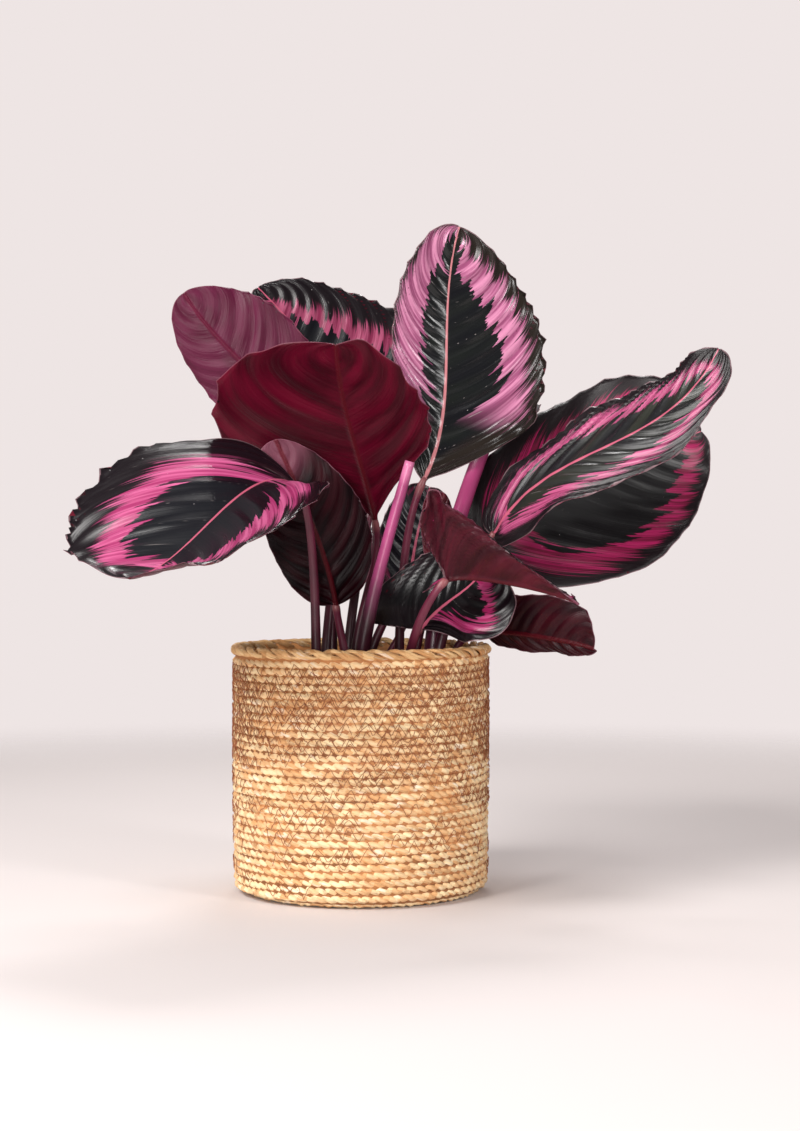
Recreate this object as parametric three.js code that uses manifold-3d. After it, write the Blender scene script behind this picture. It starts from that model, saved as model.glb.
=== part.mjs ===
// Potted surprise star calathea (Goeppertia / Calathea roseopicta type) in a coiled rush basket.
// Millimetres, +Z up. Origin: centre of the basket's flat base. -Y is the side shown to the viewer.
import * as THREE from "three";
import { mergeVertices } from "three/addons/utils/BufferGeometryUtils.js";
import Module from "manifold-3d";

// Basket: one rope of twisted rush coiled from the floor to the rim
const BASKET_HEIGHT = 162.5;
const BASKET_RADIUS = 84.2;
const BASKET_INNER_RADIUS = 78.2;
const BASKET_FLOOR = 6;
const BASKET_BASE_RADIUS = 75;
const BASKET_CORNER = 8;
const ROW_PITCH = 4.85;
const ROW_GROOVE = 1.5;
const RIM_ROPE_RADIUS = 3.9;
const RIM_ROPE_CENTRE_RADIUS = 82.1;
const BASKET_SEGMENTS = 32;
const FIRST_ROW = 1;
const BASE_TAPER = 1.2;
const TAPER_HEIGHT = 60;
const RIM_ARC = [-35, 0, 40, 90, 140, 180];
const INNER_FOOT = 3;
const INNER_SHOULDER = 80;

// Grow pot: a plain 14 cm nursery pot standing on the basket's floor
const GAP = 0.3;
const POT_BASE_RADIUS = 51;
const POT_TOP_RADIUS = 68;
const POT_HEIGHT = 131;
const POT_WALL = 1.4;
const POT_FLOOR = 1.8;
const POT_LIP_RADIUS = 70.5;
const POT_LIP_HEIGHT = 7;
const POT_SEGMENTS = 28;
const DRAIN_HOLES = 6;
const DRAIN_RADIUS = 5;
const DRAIN_CIRCLE = 34;
const DRAIN_SIDES = 10;

// Soil, mounded a little towards the crown of the plant
const SOIL_TOP = 127.4;
const SOIL_EDGE = 124.5;
const SOIL_CLEARANCE = 0.5;
const SOIL_SHOULDER = [44, 1.6];
const SOIL_CROWN_RADIUS = 20;
const ROOT_LEVEL = 128;
const STEM_IN_SOIL = 12;
const HOLE_CLEARANCE = 0.45;
const HOLE_SIDES = 8;

// Leaves: each blade is a thin sheet with a raised relief along its side veins
const BLADE_THICKNESS = 0.8;
const BLADE_ROWS = 18;
const BLADE_COLUMNS = 3;
const BLADE_START = 0.012;
const LOBE_SLANT = 0.5;
const LOBE_SPAN = 0.35;
const MARGIN_EASE = 1.3;
const EDGE_CUT = 0.022;
const PLEAT_DEPTH = 0.8;
const PLEAT_START = 0.35;
const PLEAT_FADE = 0.3;
const WAVE_DEPTH = 2.5;
const WAVES = [2.6, 5.1];
const SECOND_WAVE = 0.6;
const STEM = [3.3, 2.2];
const STEM_TAPER_FROM = 0.95;
const STEM_TIP = 0.4;
const STEM_END_GAP = 0.95;
const PETIOLE_SIDES = 6;
const PETIOLE_STEPS = 10;

// One record a leaf, in millimetres and degrees. rib: four points of the midrib, stalk end first.
// face: which way the upper side looks, at the stalk end and at the tip. half, fold and curl: left, right.
const LEAVES = {
  left_back: {
    rib: [[-29, 50, 277], [-57, 50, 324], [-91, 48, 360], [-121, 48, 398]], face: [[-0.25, 0.9, 0.35]],
    half: [45, 34], skew: [0, 0.14], sweep: [0.06, 0.04], lobe: [0.05, -0.01], blunt: [1.25, 1.03],
    root: [-24, 4], seed: 1,
  },
  back_centre: {
    rib: [[7, 75, 296], [-14, 90, 333], [-43, 100, 373], [-75, 104, 408]], face: [[-0.1, -0.8, 0.6]],
    half: [41, 84], fold: [8, 8], curl: [0, -20], skew: [0.59, 0.45], sweep: [0.05, -0.1],
    lobe: [0.04, 0.08], blunt: [0.6, 0.75], veins: 11, root: [-10, 30], ease: 0.15, seed: 2,
  },
  centre_wine: {
    rib: [[9, 6, 244], [0, -23, 280], [-9, -52, 313], [-14, -87, 351]], face: [[0.1, 0.75, 0.65]],
    half: [53, 89], curl: [-10, -10], skew: [0.14, -0.07], sweep: [0.14, 0.09], lobe: [-0.11, -0.2],
    blunt: [1.08, 1.02], veins: 8, root: [-6, 8], seed: 3,
  },
  upright_tall: {
    rib: [[41, 3, 269], [55, 13, 322], [57, 17, 379], [65, 12, 438]], face: [[0.25, -0.95, 0.1]],
    half: [41, 71], fold: [5, 8], curl: [10, -10], skew: [-0.07, 0.1], sweep: [0.06, 0.02],
    lobe: [0.02, -0.08], blunt: [1.2, 1.25], veins: 12, root: [25, 20], ease: 0.2, seed: 4,
  },
  left_spreading: {
    rib: [[-39, -60, 264], [-70, -100, 259], [-100, -140, 228], [-131, -175, 208]],
    face: [[0.12, -0.6, 0.8], [-0.15, -0.4, 0.9]], half: [77, 90], fold: [19, 2], curl: [4, -2],
    skew: [-0.16, 0.3], sweep: [0.09, 0.22], lobe: [0, 0.04], blunt: [0.67, 0.77], veins: 8,
    root: [-28, -34], ease: 0.12, seed: 5,
  },
  inner_dark: {
    rib: [[-16, -20, 188], [-24, -27, 221], [-38, -33, 258], [-54, -37, 294.5]],
    face: [[-0.1, 0.9, 0.35]], half: [35, 31], skew: [0.18, 0.15], sweep: [0.01, 0.05],
    lobe: [0.02, 0.02], blunt: [1.4, 0.87], root: [-8, -14], seed: 6,
  },
  right_round: {
    rib: [[84, 16, 228], [136.5, 28, 257], [186, 36, 283], [228.5, 31, 303]], face: [[-0.2, -0.85, 0.5]],
    half: [70, 70], skew: [0, 0.5], sweep: [0.07, 0.17], root: [45, 16], stem: [3.6, 2.6], ease: 0.15,
    seed: 7,
  },
  right_long: {
    rib: [[86, -22, 233], [130, -42, 276], [183, -55, 303], [227, -60, 351]], face: [[-0.3, -0.45, 0.85]],
    half: [39, 35], fold: [15, -18], skew: [0, 0], sweep: [-0.02, 0], lobe: [0.02, 0.04], root: [48, -29],
    stem: [3.6, 2.6], lift: 0.5, ease: 0.2, seed: 8,
  },
  front_right_folded: {
    rib: [[54, -84, 205], [78, -89, 206], [113, -108, 199], [134, -114, 191]],
    face: [[0.19, 0.75, 0.31], [0.18, 0.96, 0.38]], half: [24, 62], fold: [75, -20], curl: [0, 13],
    skew: [0.3, 0.48], sweep: [0.1, -0.42], lobe: [0.3, 0.39], blunt: [0.8, 2.26], root: [29, -49],
    rise: [0, -0.2, 1], ease: 0.2, seed: 9,
  },
  front_low: {
    rib: [[39, -30, 172], [55, -40, 189], [69, -49, 200], [81, -57, 216]], face: [[-0.1, -0.75, 0.6]],
    half: [44, 42], fold: [0, 0], skew: [0.35, -0.4], sweep: [-0.07, 0.08], lobe: [0.3, 0],
    blunt: [0.75, 1.3], veins: 7, root: [34, -24], stem: [2.8, 1.6], gap: 1.8, seed: 10,
  },
  rim_right: {
    rib: [[76, 4, 170], [96, -16, 170], [122, -35, 167], [149, -49, 161]], face: [[0.1, 0.95, 0.3]],
    half: [12, 28], fold: [10, 5], skew: [0.35, -0.3], sweep: [0.13, 0.02], lobe: [0.05, -0.02],
    blunt: [1.03, 1.05], root: [56, 10], stem: [2.8, 2.2], seed: 11,
  },
  inner_small: {
    rib: [[32, 35, 186], [34, 45, 214], [39, 50, 240], [46, 50, 266]], face: [[0, -0.95, 0.3]],
    half: [26, 22], root: [12, 34], stem: [2.6, 1.8], seed: 12,
  },
  inner_bud: {
    rib: [[50, 30, 213], [51, 36, 229], [51, 40, 247], [50, 42, 262]], face: [[0, 0.95, 0.3]],
    half: [11, 11], wave: 1, root: [35, 29], stem: [2.6, 1.8], seed: 13,
  },
  rear_high: {
    rib: [[90, 96, 312], [91, 132, 320], [88, 168, 324], [82, 202, 321]], face: [[0.1, -0.5, 0.85]],
    half: [38, 38], fold: [10, 10], root: [46, -16], stem: [5.6, 5], lift: 0.42, ease: 0.55, seed: 14,
  },
  rear_left: {
    rib: [[-22, 96, 262], [-27, 130, 290], [-34, 168, 310], [-40, 204, 318]], face: [[0, -0.5, 0.85]],
    half: [48, 48], fold: [10, 10], root: [-20, 42], seed: 15,
  },
  rear_right: {
    rib: [[79, 70, 232], [110, 105, 252], [141, 142, 262], [172, 175, 260]], face: [[0, -0.3, 0.95]],
    half: [44, 44], fold: [10, 10], root: [32, 50], seed: 16,
  },
  rear_low: {
    rib: [[26, 72, 212], [15, 110, 232], [8, 146, 238], [2, 182, 232]], face: [[0, -0.3, 0.95]],
    half: [42, 42], fold: [10, 10], root: [2, 48], seed: 17,
  },
};
const UNDERSIDE_SHOWN = [
  "left_back", "centre_wine", "inner_dark", "front_right_folded", "rim_right", "inner_bud",
];

// The cut stalk: control points of its curve and its radius at the soil, at its waist and at the cut
const CUT_STALK = [[-2, -34, 128], [2, -42, 180], [18, -48, 230], [32, -50, 280]];
const CUT_STALK_RADII = [5.4, 3.9, 3.2];
const CUT_STALK_WAIST = 0.6;

// Small vector helpers
const add = (a, b, k = 1) => [a[0] + b[0] * k, a[1] + b[1] * k, a[2] + b[2] * k];
const dot = (a, b) => a[0] * b[0] + a[1] * b[1] + a[2] * b[2];
const cross = (a, b) => [
  a[1] * b[2] - a[2] * b[1],
  a[2] * b[0] - a[0] * b[2],
  a[0] * b[1] - a[1] * b[0],
];
const unit = (a) => {
  const n = Math.hypot(a[0], a[1], a[2]) || 1;
  return [a[0] / n, a[1] / n, a[2] / n];
};
const clamp = (x, lo, hi) => Math.min(hi, Math.max(lo, x));

// The midrib: a cubic through its four points, straight beyond both ends
function midrib(points, s) {
  const c = clamp(s, 0, 1);
  const knots = [0, 1 / 3, 2 / 3, 1];
  let place = [0, 0, 0];
  let along = [0, 0, 0];
  for (let i = 0; i < 4; i += 1) {
    const [a, b, d] = [0, 1, 2, 3].filter((j) => j !== i).map((j) => knots[j]);
    const scale = (knots[i] - a) * (knots[i] - b) * (knots[i] - d);
    place = add(place, points[i], ((c - a) * (c - b) * (c - d)) / scale);
    along = add(along, points[i], ((c - a) * (c - b) + (c - a) * (c - d) + (c - b) * (c - d)) / scale);
  }
  return { place: add(place, along, s - c), along };
}

// A point of the blade: q runs along the leaf, t from the midrib to the margin, side is 1 left or -1 right
function bladePoint(leaf, q, t, side) {
  const k = side > 0 ? 0 : 1;
  const pick = (name, fallback) => (leaf[name] ? leaf[name][k] : fallback);
  const fold = THREE.MathUtils.degToRad(pick("fold", 5));
  const curl = THREE.MathUtils.degToRad(pick("curl", 0));
  const early = Math.sin(Math.PI * Math.min(q / LOBE_SPAN, 1));
  const margin = (1 - Math.cos(Math.PI * q)) / 2 + pick("sweep", 0.1) * Math.sin(Math.PI * q)
    - pick("lobe", 0.08) * early;
  const oval = Math.sin(Math.PI * q) ** pick("blunt", 0.85);
  const width = oval * (1 + pick("skew", 0.12) * Math.cos(Math.PI * q));
  const length = leaf.rib.slice(1).reduce((sum, p, i) => sum + Math.hypot(...add(p, leaf.rib[i], -1)), 0);
  const reach = leaf.half[k] * width * t;
  const s = Math.max(q + (margin - q) * t ** MARGIN_EASE, (-LOBE_SLANT * reach) / length);
  const veins = leaf.veins ?? 10;
  const phase = leaf.seed * 1.7 + (side > 0 ? 0 : 2.1);
  const ripple = Math.cos(2 * Math.PI * veins * q + phase);
  const cutEdge = 1 - EDGE_CUT * (1 + ripple) * t ** 6;
  const out = reach * cutEdge;
  const { place, along } = midrib(leaf.rib, s);
  const forward = unit(along);
  const first = leaf.face[0];
  const last = leaf.face[leaf.face.length - 1];
  const c = clamp(s, 0, 1);
  const look = first.map((v, i) => v * (1 - c) + last[i] * c);
  const up = unit(add(look, forward, -dot(look, forward)));
  const across = cross(up, forward).map((v) => v * side);
  const angle = fold + (curl * t) / 2;
  const pleat = PLEAT_DEPTH * ripple * Math.min(t / PLEAT_START, 1) * (1 - PLEAT_FADE * t);
  const wave = (leaf.wave ?? WAVE_DEPTH) * t ** 2.5
    * (Math.sin(2 * Math.PI * WAVES[0] * q + phase * 1.3)
      + SECOND_WAVE * Math.sin(2 * Math.PI * WAVES[1] * q + phase * 2.2));
  const raised = out * Math.sin(angle) + (pleat + wave) * Math.sqrt(Math.sin(Math.PI * q));
  return add(add(place, across, out * Math.cos(angle)), up, raised);
}

function indexed(points, triangles) {
  const geometry = new THREE.BufferGeometry();
  geometry.setAttribute("position", new THREE.Float32BufferAttribute(points.flat(), 3));
  geometry.setIndex(triangles.flat());
  geometry.computeVertexNormals();
  return geometry;
}

// A closed thin sheet over the grid of blade points, half its thickness to each side
function bladeGeometry(leaf) {
  const columns = 2 * BLADE_COLUMNS + 1;
  const grid = [];
  for (let i = 0; i < BLADE_ROWS; i += 1) {
    const q = BLADE_START + ((1 - 2 * BLADE_START) * i) / (BLADE_ROWS - 1);
    const row = [];
    for (let j = 0; j < columns; j += 1) {
      const side = j <= BLADE_COLUMNS ? 1 : -1;
      row.push(bladePoint(leaf, q, Math.abs(j - BLADE_COLUMNS) / BLADE_COLUMNS, side));
    }
    grid.push(row);
  }
  const normal = (i, j) => {
    const down = grid[Math.max(i - 1, 0)][j];
    const up = grid[Math.min(i + 1, BLADE_ROWS - 1)][j];
    const left = grid[i][Math.max(j - 1, 0)];
    const right = grid[i][Math.min(j + 1, columns - 1)];
    return unit(cross(add(right, left, -1), add(up, down, -1)));
  };
  const points = [];
  for (const lift of [BLADE_THICKNESS / 2, -BLADE_THICKNESS / 2]) {
    grid.forEach((row, i) => row.forEach((p, j) => points.push(add(p, normal(i, j), lift))));
  }
  const total = BLADE_ROWS * columns;
  const at = (i, j, lower) => i * columns + j + (lower ? total : 0);
  const triangles = [];
  for (let i = 0; i < BLADE_ROWS - 1; i += 1) {
    for (let j = 0; j < columns - 1; j += 1) {
      for (const lower of [false, true]) {
        const a = at(i, j, lower);
        const b = at(i, j + 1, lower);
        const c = at(i + 1, j + 1, lower);
        const d = at(i + 1, j, lower);
        triangles.push(lower ? [a, d, b] : [a, b, d], lower ? [b, d, c] : [b, c, d]);
      }
    }
  }
  const wall = (a, b) => triangles.push([a, a + total, b], [b, a + total, b + total]);
  for (let j = 0; j < columns - 1; j += 1) {
    wall(at(0, j), at(0, j + 1));
    wall(at(BLADE_ROWS - 1, j + 1), at(BLADE_ROWS - 1, j));
  }
  for (let i = 0; i < BLADE_ROWS - 1; i += 1) {
    wall(at(i + 1, 0), at(i, 0));
    wall(at(i, columns - 1), at(i + 1, columns - 1));
  }
  return indexed(points, triangles);
}

// A round stalk along a curve, its foot straight down into the soil, closed at both ends
function stalkGeometry(curve, radiusAt, steps) {
  const places = [];
  for (let i = 0; i <= steps; i += 1) {
    const s = i / steps;
    places.push({ p: curve.getPoint(s).toArray(), d: curve.getTangent(s).toArray(), s });
  }
  const foot = places[0].p;
  const below = { p: [foot[0], foot[1], ROOT_LEVEL - STEM_IN_SOIL], d: [0, 0, 1], s: 0 };
  places[0].d = [0, 0, 1];
  places.unshift(below);
  const points = [];
  let side = [1, 0, 0];
  for (const { p, d, s } of places) {
    const forward = unit(d);
    side = unit(add(side, forward, -dot(side, forward)));
    const other = cross(forward, side);
    for (let k = 0; k < PETIOLE_SIDES; k += 1) {
      const angle = (2 * Math.PI * k) / PETIOLE_SIDES;
      const r = radiusAt(s);
      points.push(add(add(p, side, r * Math.cos(angle)), other, r * Math.sin(angle)));
    }
  }
  const triangles = [];
  const n = PETIOLE_SIDES;
  for (let i = 0; i < places.length - 1; i += 1) {
    for (let k = 0; k < n; k += 1) {
      const a = i * n + k;
      const b = i * n + ((k + 1) % n);
      triangles.push([a, b, a + n], [b, b + n, a + n]);
    }
  }
  const end = (places.length - 1) * n;
  for (let k = 1; k < n - 1; k += 1) {
    triangles.push([0, k + 1, k], [end, end + k, end + k + 1]);
  }
  return indexed(points, triangles);
}

const bezier = (list) => new THREE.CubicBezierCurve3(...list.map((p) => new THREE.Vector3(...p)));

function petiolePoints(leaf) {
  const root = [leaf.root[0], leaf.root[1], ROOT_LEVEL];
  const { place: start, along } = midrib(leaf.rib, BLADE_START);
  const forward = unit(along);
  const base = add(start, forward, -(leaf.gap ?? STEM_END_GAP));
  const length = Math.hypot(...add(leaf.rib[0], root, -1));
  const rise = unit(leaf.rise ?? [0, 0, 1]);
  const low = add(root, rise, length * (leaf.lift ?? 0.45));
  const high = add(base, forward, -length * (leaf.ease ?? 0.35));
  return [root, low, high, base];
}

// Solid geometry through the boolean library
const wasm = await Module();
wasm.setup();

function solid(geometry) {
  const bare = geometry.clone();
  bare.deleteAttribute("normal");
  bare.deleteAttribute("uv");
  const merged = mergeVertices(bare, 1e-4);
  return new wasm.Manifold(new wasm.Mesh({
    numProp: 3,
    vertProperties: new Float32Array(merged.attributes.position.array),
    triVerts: new Uint32Array(merged.index.array),
  }));
}

function fromSolid(manifold) {
  const mesh = manifold.getMesh();
  const geometry = new THREE.BufferGeometry();
  geometry.setAttribute("position", new THREE.BufferAttribute(new Float32Array(mesh.vertProperties), 3));
  geometry.setIndex(new THREE.BufferAttribute(new Uint32Array(mesh.triVerts), 1));
  geometry.computeVertexNormals();
  return geometry;
}

const lathe = (profile, segments) => {
  const geometry = new THREE.LatheGeometry(profile.map(([r, z]) => new THREE.Vector2(r, z)), segments);
  return geometry.rotateX(Math.PI / 2);
};

const uprightCylinder = (radius, bottom, top, x, y, sides) => {
  const geometry = new THREE.CylinderGeometry(radius, radius, top - bottom, sides);
  return geometry.rotateX(Math.PI / 2).translate(x, y, (top + bottom) / 2);
};

// Basket: the outline bulges out at every row of rope and draws in between rows
function basketGeometry() {
  const outline = [[0, 0], [BASKET_BASE_RADIUS, 0]];
  const rimBottom = BASKET_HEIGHT - 2 * RIM_ROPE_RADIUS;
  const rows = Math.round((rimBottom - FIRST_ROW) / ROW_PITCH);
  const pitch = (rimBottom - FIRST_ROW) / rows;
  const drawIn = (z) => {
    const up = clamp((BASKET_CORNER - z) / BASKET_CORNER, 0, 1);
    const corner = BASKET_CORNER * (1 - Math.sqrt(1 - up * up));
    const taper = BASE_TAPER * clamp(1 - z / TAPER_HEIGHT, 0, 1);
    return corner + taper;
  };
  for (let i = 0; i < rows; i += 1) {
    const crest = FIRST_ROW + (i + 0.5) * pitch;
    const valley = FIRST_ROW + (i + 1) * pitch;
    outline.push([BASKET_RADIUS - drawIn(crest), crest]);
    outline.push([BASKET_RADIUS - ROW_GROOVE - drawIn(valley), valley]);
  }
  const rimZ = BASKET_HEIGHT - RIM_ROPE_RADIUS;
  for (const degrees of RIM_ARC) {
    const a = THREE.MathUtils.degToRad(degrees);
    outline.push([
      RIM_ROPE_CENTRE_RADIUS + RIM_ROPE_RADIUS * Math.cos(a),
      rimZ + RIM_ROPE_RADIUS * Math.sin(a),
    ]);
  }
  outline.push([BASKET_INNER_RADIUS, INNER_SHOULDER]);
  outline.push([BASKET_INNER_RADIUS - GAP, BASKET_FLOOR + INNER_FOOT]);
  outline.push([BASKET_INNER_RADIUS - INNER_FOOT, BASKET_FLOOR], [0, BASKET_FLOOR]);
  return lathe(outline, BASKET_SEGMENTS);
}

function potProfiles() {
  const bottom = BASKET_FLOOR + GAP;
  const top = bottom + POT_HEIGHT;
  const lip = top - POT_LIP_HEIGHT;
  const flare = POT_TOP_RADIUS - POT_BASE_RADIUS;
  const outer = (z) => POT_BASE_RADIUS + (flare * (z - bottom)) / POT_HEIGHT;
  const wall = [
    [0, bottom], [POT_BASE_RADIUS - 1, bottom], [POT_BASE_RADIUS, bottom + 1],
    [outer(lip), lip], [POT_LIP_RADIUS, lip], [POT_LIP_RADIUS, top],
    [POT_TOP_RADIUS - POT_WALL, top], [POT_BASE_RADIUS - POT_WALL, bottom + POT_FLOOR],
    [0, bottom + POT_FLOOR],
  ];
  const inner = (z) => {
    const low = bottom + POT_FLOOR;
    return POT_BASE_RADIUS - POT_WALL + (flare * (z - low)) / (top - low);
  };
  const soilBottom = bottom + POT_FLOOR + GAP;
  const fill = [
    [0, soilBottom], [inner(soilBottom) - SOIL_CLEARANCE, soilBottom],
    [inner(SOIL_EDGE) - SOIL_CLEARANCE, SOIL_EDGE],
    [SOIL_SHOULDER[0], SOIL_EDGE + SOIL_SHOULDER[1]], [SOIL_CROWN_RADIUS, SOIL_TOP], [0, SOIL_TOP],
  ];
  return { wall, fill, bottom };
}

const { wall: potWall, fill: soilFill, bottom: potBottom } = potProfiles();

function growPotGeometry() {
  let pot = solid(lathe(potWall, POT_SEGMENTS));
  for (let i = 0; i < DRAIN_HOLES; i += 1) {
    const a = (2 * Math.PI * i) / DRAIN_HOLES;
    const x = DRAIN_CIRCLE * Math.cos(a);
    const y = DRAIN_CIRCLE * Math.sin(a);
    const hole = uprightCylinder(DRAIN_RADIUS, potBottom - 1, potBottom + POT_FLOOR + 1, x, y, DRAIN_SIDES);
    pot = pot.subtract(solid(hole));
  }
  return fromSolid(pot);
}

function soilGeometry(feet) {
  let soil = solid(lathe(soilFill, POT_SEGMENTS));
  for (const [x, y, radius] of feet) {
    const bottom = ROOT_LEVEL - STEM_IN_SOIL - GAP;
    const corner = (radius + HOLE_CLEARANCE) / Math.cos(Math.PI / HOLE_SIDES);
    const hole = uprightCylinder(corner, bottom, SOIL_TOP + 5, x, y, HOLE_SIDES);
    soil = soil.subtract(solid(hole));
  }
  return fromSolid(soil);
}

const paint = (color, roughness) => new THREE.MeshStandardMaterial({ color, roughness, metalness: 0 });
const upperGreen = paint(0x2b2a2e, 0.35);
const underWine = paint(0x5a1030, 0.45);
const stalkPink = paint(0x7a2748, 0.5);
const cutPink = paint(0xd6739f, 0.45);
const rush = paint(0xd9b07f, 0.85);
const blackPlastic = paint(0x1d1d1f, 0.5);
const earth = paint(0x2e211a, 0.95);

const plant = new THREE.Group();
function place(name, geometry, material) {
  const mesh = new THREE.Mesh(geometry, material);
  mesh.name = name;
  plant.add(mesh);
}

const feet = [];
for (const [name, leaf] of Object.entries(LEAVES)) {
  const stem = leaf.stem ?? STEM;
  const curve = bezier(petiolePoints(leaf));
  place(`blade_${name}`, bladeGeometry(leaf), UNDERSIDE_SHOWN.includes(name) ? underWine : upperGreen);
  const radius = (s) => (s > STEM_TAPER_FROM ? STEM_TIP : stem[0] + (stem[1] - stem[0]) * s);
  place(`petiole_${name}`, stalkGeometry(curve, radius, PETIOLE_STEPS), stalkPink);
  feet.push([leaf.root[0], leaf.root[1], stem[0]]);
}
const [thick, middle, thin] = CUT_STALK_RADII;
const cutRadius = (s) => {
  const beyond = (s - CUT_STALK_WAIST) / (1 - CUT_STALK_WAIST);
  return beyond > 0 ? middle + (thin - middle) * beyond : thick + (middle - thick) * (s / CUT_STALK_WAIST);
};
place("cut_stalk", stalkGeometry(bezier(CUT_STALK), cutRadius, PETIOLE_STEPS), cutPink);
feet.push([CUT_STALK[0][0], CUT_STALK[0][1], thick]);
place("soil", soilGeometry(feet), earth);
place("grow_pot", growPotGeometry(), blackPlastic);
place("basket", basketGeometry(), rush);

export default plant;
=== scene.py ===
"""Potted calathea in a coiled rush basket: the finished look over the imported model."""

import math

import bpy
import numpy as np
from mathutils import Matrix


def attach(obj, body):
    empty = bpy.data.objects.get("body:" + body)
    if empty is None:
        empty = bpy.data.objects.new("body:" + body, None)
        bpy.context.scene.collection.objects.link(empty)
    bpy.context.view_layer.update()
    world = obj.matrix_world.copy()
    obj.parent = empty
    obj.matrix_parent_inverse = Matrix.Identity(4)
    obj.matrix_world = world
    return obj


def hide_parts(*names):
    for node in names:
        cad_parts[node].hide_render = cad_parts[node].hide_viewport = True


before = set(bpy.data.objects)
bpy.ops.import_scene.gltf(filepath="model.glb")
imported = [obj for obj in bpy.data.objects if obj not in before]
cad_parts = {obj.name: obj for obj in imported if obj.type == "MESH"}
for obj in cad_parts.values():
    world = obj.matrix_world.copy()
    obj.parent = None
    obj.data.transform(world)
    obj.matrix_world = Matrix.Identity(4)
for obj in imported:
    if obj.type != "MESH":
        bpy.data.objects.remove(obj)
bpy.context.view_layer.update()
MM = 0.001
BODY = "root"


# Colours are written as a paint chart gives them, 0 to 255
def tone(red, green, blue):
    parts = []
    for value in (red, green, blue):
        value = value / 255.0
        parts.append(value / 12.92 if value <= 0.04045 else ((value + 0.055) / 1.055) ** 2.4)
    return (parts[0], parts[1], parts[2], 1.0)


# Camera and room
CAMERA_PLACE = (0.0257, -1.435, 0.232)
FOCAL_PIXELS = 2181.0
PHOTO_HEIGHT = 1131.0
HORIZON_ROW = 537.0
SENSOR_MM = 36.0


def set_camera():
    data = bpy.data.cameras.new("viewer")
    data.sensor_width = SENSOR_MM
    data.lens = SENSOR_MM * FOCAL_PIXELS / PHOTO_HEIGHT
    data.shift_y = (HORIZON_ROW - PHOTO_HEIGHT / 2) / PHOTO_HEIGHT
    data.clip_start = 0.05
    data.clip_end = 100.0
    camera = bpy.data.objects.new("viewer", data)
    camera.location = CAMERA_PLACE
    camera.rotation_euler = (math.pi / 2, 0.0, 0.0)
    bpy.context.scene.collection.objects.link(camera)
    bpy.context.scene.camera = camera


def plain_colours():
    """Colours are shown as they are, with no film look over them"""
    view = bpy.context.scene.view_settings
    view.view_transform = "Standard"
    view.look = "None"


def soft_light(name, place, target, size, watts, colour):
    data = bpy.data.lights.new(name, "AREA")
    data.shape = "DISK"
    data.size = size
    data.energy = watts
    data.color = colour
    lamp = bpy.data.objects.new(name, data)
    lamp.location = place
    away = [p - t for p, t in zip(place, target)]
    flat = math.hypot(away[0], away[1])
    lamp.rotation_euler = (math.atan2(flat, away[2]), 0.0, math.atan2(away[0], -away[1]))
    bpy.context.scene.collection.objects.link(lamp)


# Node trees in short form, for materials and for geometry
class Nodes:
    def __init__(self, tree):
        self.tree = tree

    def put(self, kind, inputs=None, **settings):
        node = self.tree.nodes.new(kind)
        for key, value in settings.items():
            setattr(node, key, value)
        for key, value in (inputs or {}).items():
            self.feed(node.inputs[key], value)
        return node

    def feed(self, socket, value):
        if isinstance(value, bpy.types.NodeSocket):
            self.tree.links.new(value, socket)
        else:
            socket.default_value = value

    def sum(self, operation, first, second=0.0, third=None, clamp=False):
        node = self.tree.nodes.new("ShaderNodeMath")
        node.operation = operation
        node.use_clamp = clamp
        self.feed(node.inputs[0], first)
        self.feed(node.inputs[1], second)
        if third is not None:
            self.feed(node.inputs[2], third)
        return node.outputs[0]

    def off_centre(self, value):
        return self.sum("SUBTRACT", value, 0.5)

    def vector(self, x=0.0, y=0.0, z=0.0):
        return self.put("ShaderNodeCombineXYZ", {0: x, 1: y, 2: z}).outputs[0]

    def grain(self, place, scale, detail=2.0, rough=0.5):
        inputs = {"Vector": place, "Scale": scale, "Detail": detail, "Roughness": rough}
        return self.put("ShaderNodeTexNoise", inputs).outputs["Fac"]


class Wiring(Nodes):
    def __init__(self, name):
        self.material = bpy.data.materials.new(name)
        self.material.use_nodes = True
        super().__init__(self.material.node_tree)
        self.tree.nodes.clear()
        self.output = self.tree.nodes.new("ShaderNodeOutputMaterial")

    def blend(self, amount, first, second):
        node = self.put("ShaderNodeMix", data_type="RGBA", clamp_factor=True)
        self.feed(node.inputs[0], amount)
        self.feed(node.inputs[6], first)
        self.feed(node.inputs[7], second)
        return node.outputs[2]

    def between(self, value, low, high, start=0.0, end=1.0):
        """value from low to high becomes start to end, smoothly, and stays there beyond"""
        node = self.put("ShaderNodeMapRange", interpolation_type="SMOOTHSTEP")
        for socket, given in zip(node.inputs[:5], (value, low, high, start, end)):
            self.feed(socket, given)
        return node.outputs[0]

    def chance(self, place):
        return self.put("ShaderNodeTexWhiteNoise", {"Vector": place}).outputs["Value"]

    def own_place(self):
        return self.put("ShaderNodeTexCoord").outputs["Object"]

    def map_values(self, label):
        uv = self.put("ShaderNodeUVMap", uv_map=label).outputs[0]
        return self.put("ShaderNodeSeparateXYZ", {0: uv}).outputs

    def relief(self, height, distance, strength=1.0):
        inputs = {"Height": height, "Distance": distance, "Strength": strength}
        return self.put("ShaderNodeBump", inputs).outputs[0]

    def finish(self, colour, roughness, normal=None, **fixed):
        shader = self.put("ShaderNodeBsdfPrincipled", {"Base Color": colour, "Roughness": roughness})
        for key, value in fixed.items():
            shader.inputs[key.replace("_", " ")].default_value = value
        if normal is not None:
            self.feed(shader.inputs["Normal"], normal)
        self.tree.links.new(shader.outputs[0], self.output.inputs[0])
        return self.material


def new_piece(name, mesh, nodes=()):
    piece = bpy.data.objects.new(name, mesh)
    bpy.context.scene.collection.objects.link(piece)
    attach(piece, BODY)
    if nodes:
        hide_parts(*nodes)
    return piece


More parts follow.
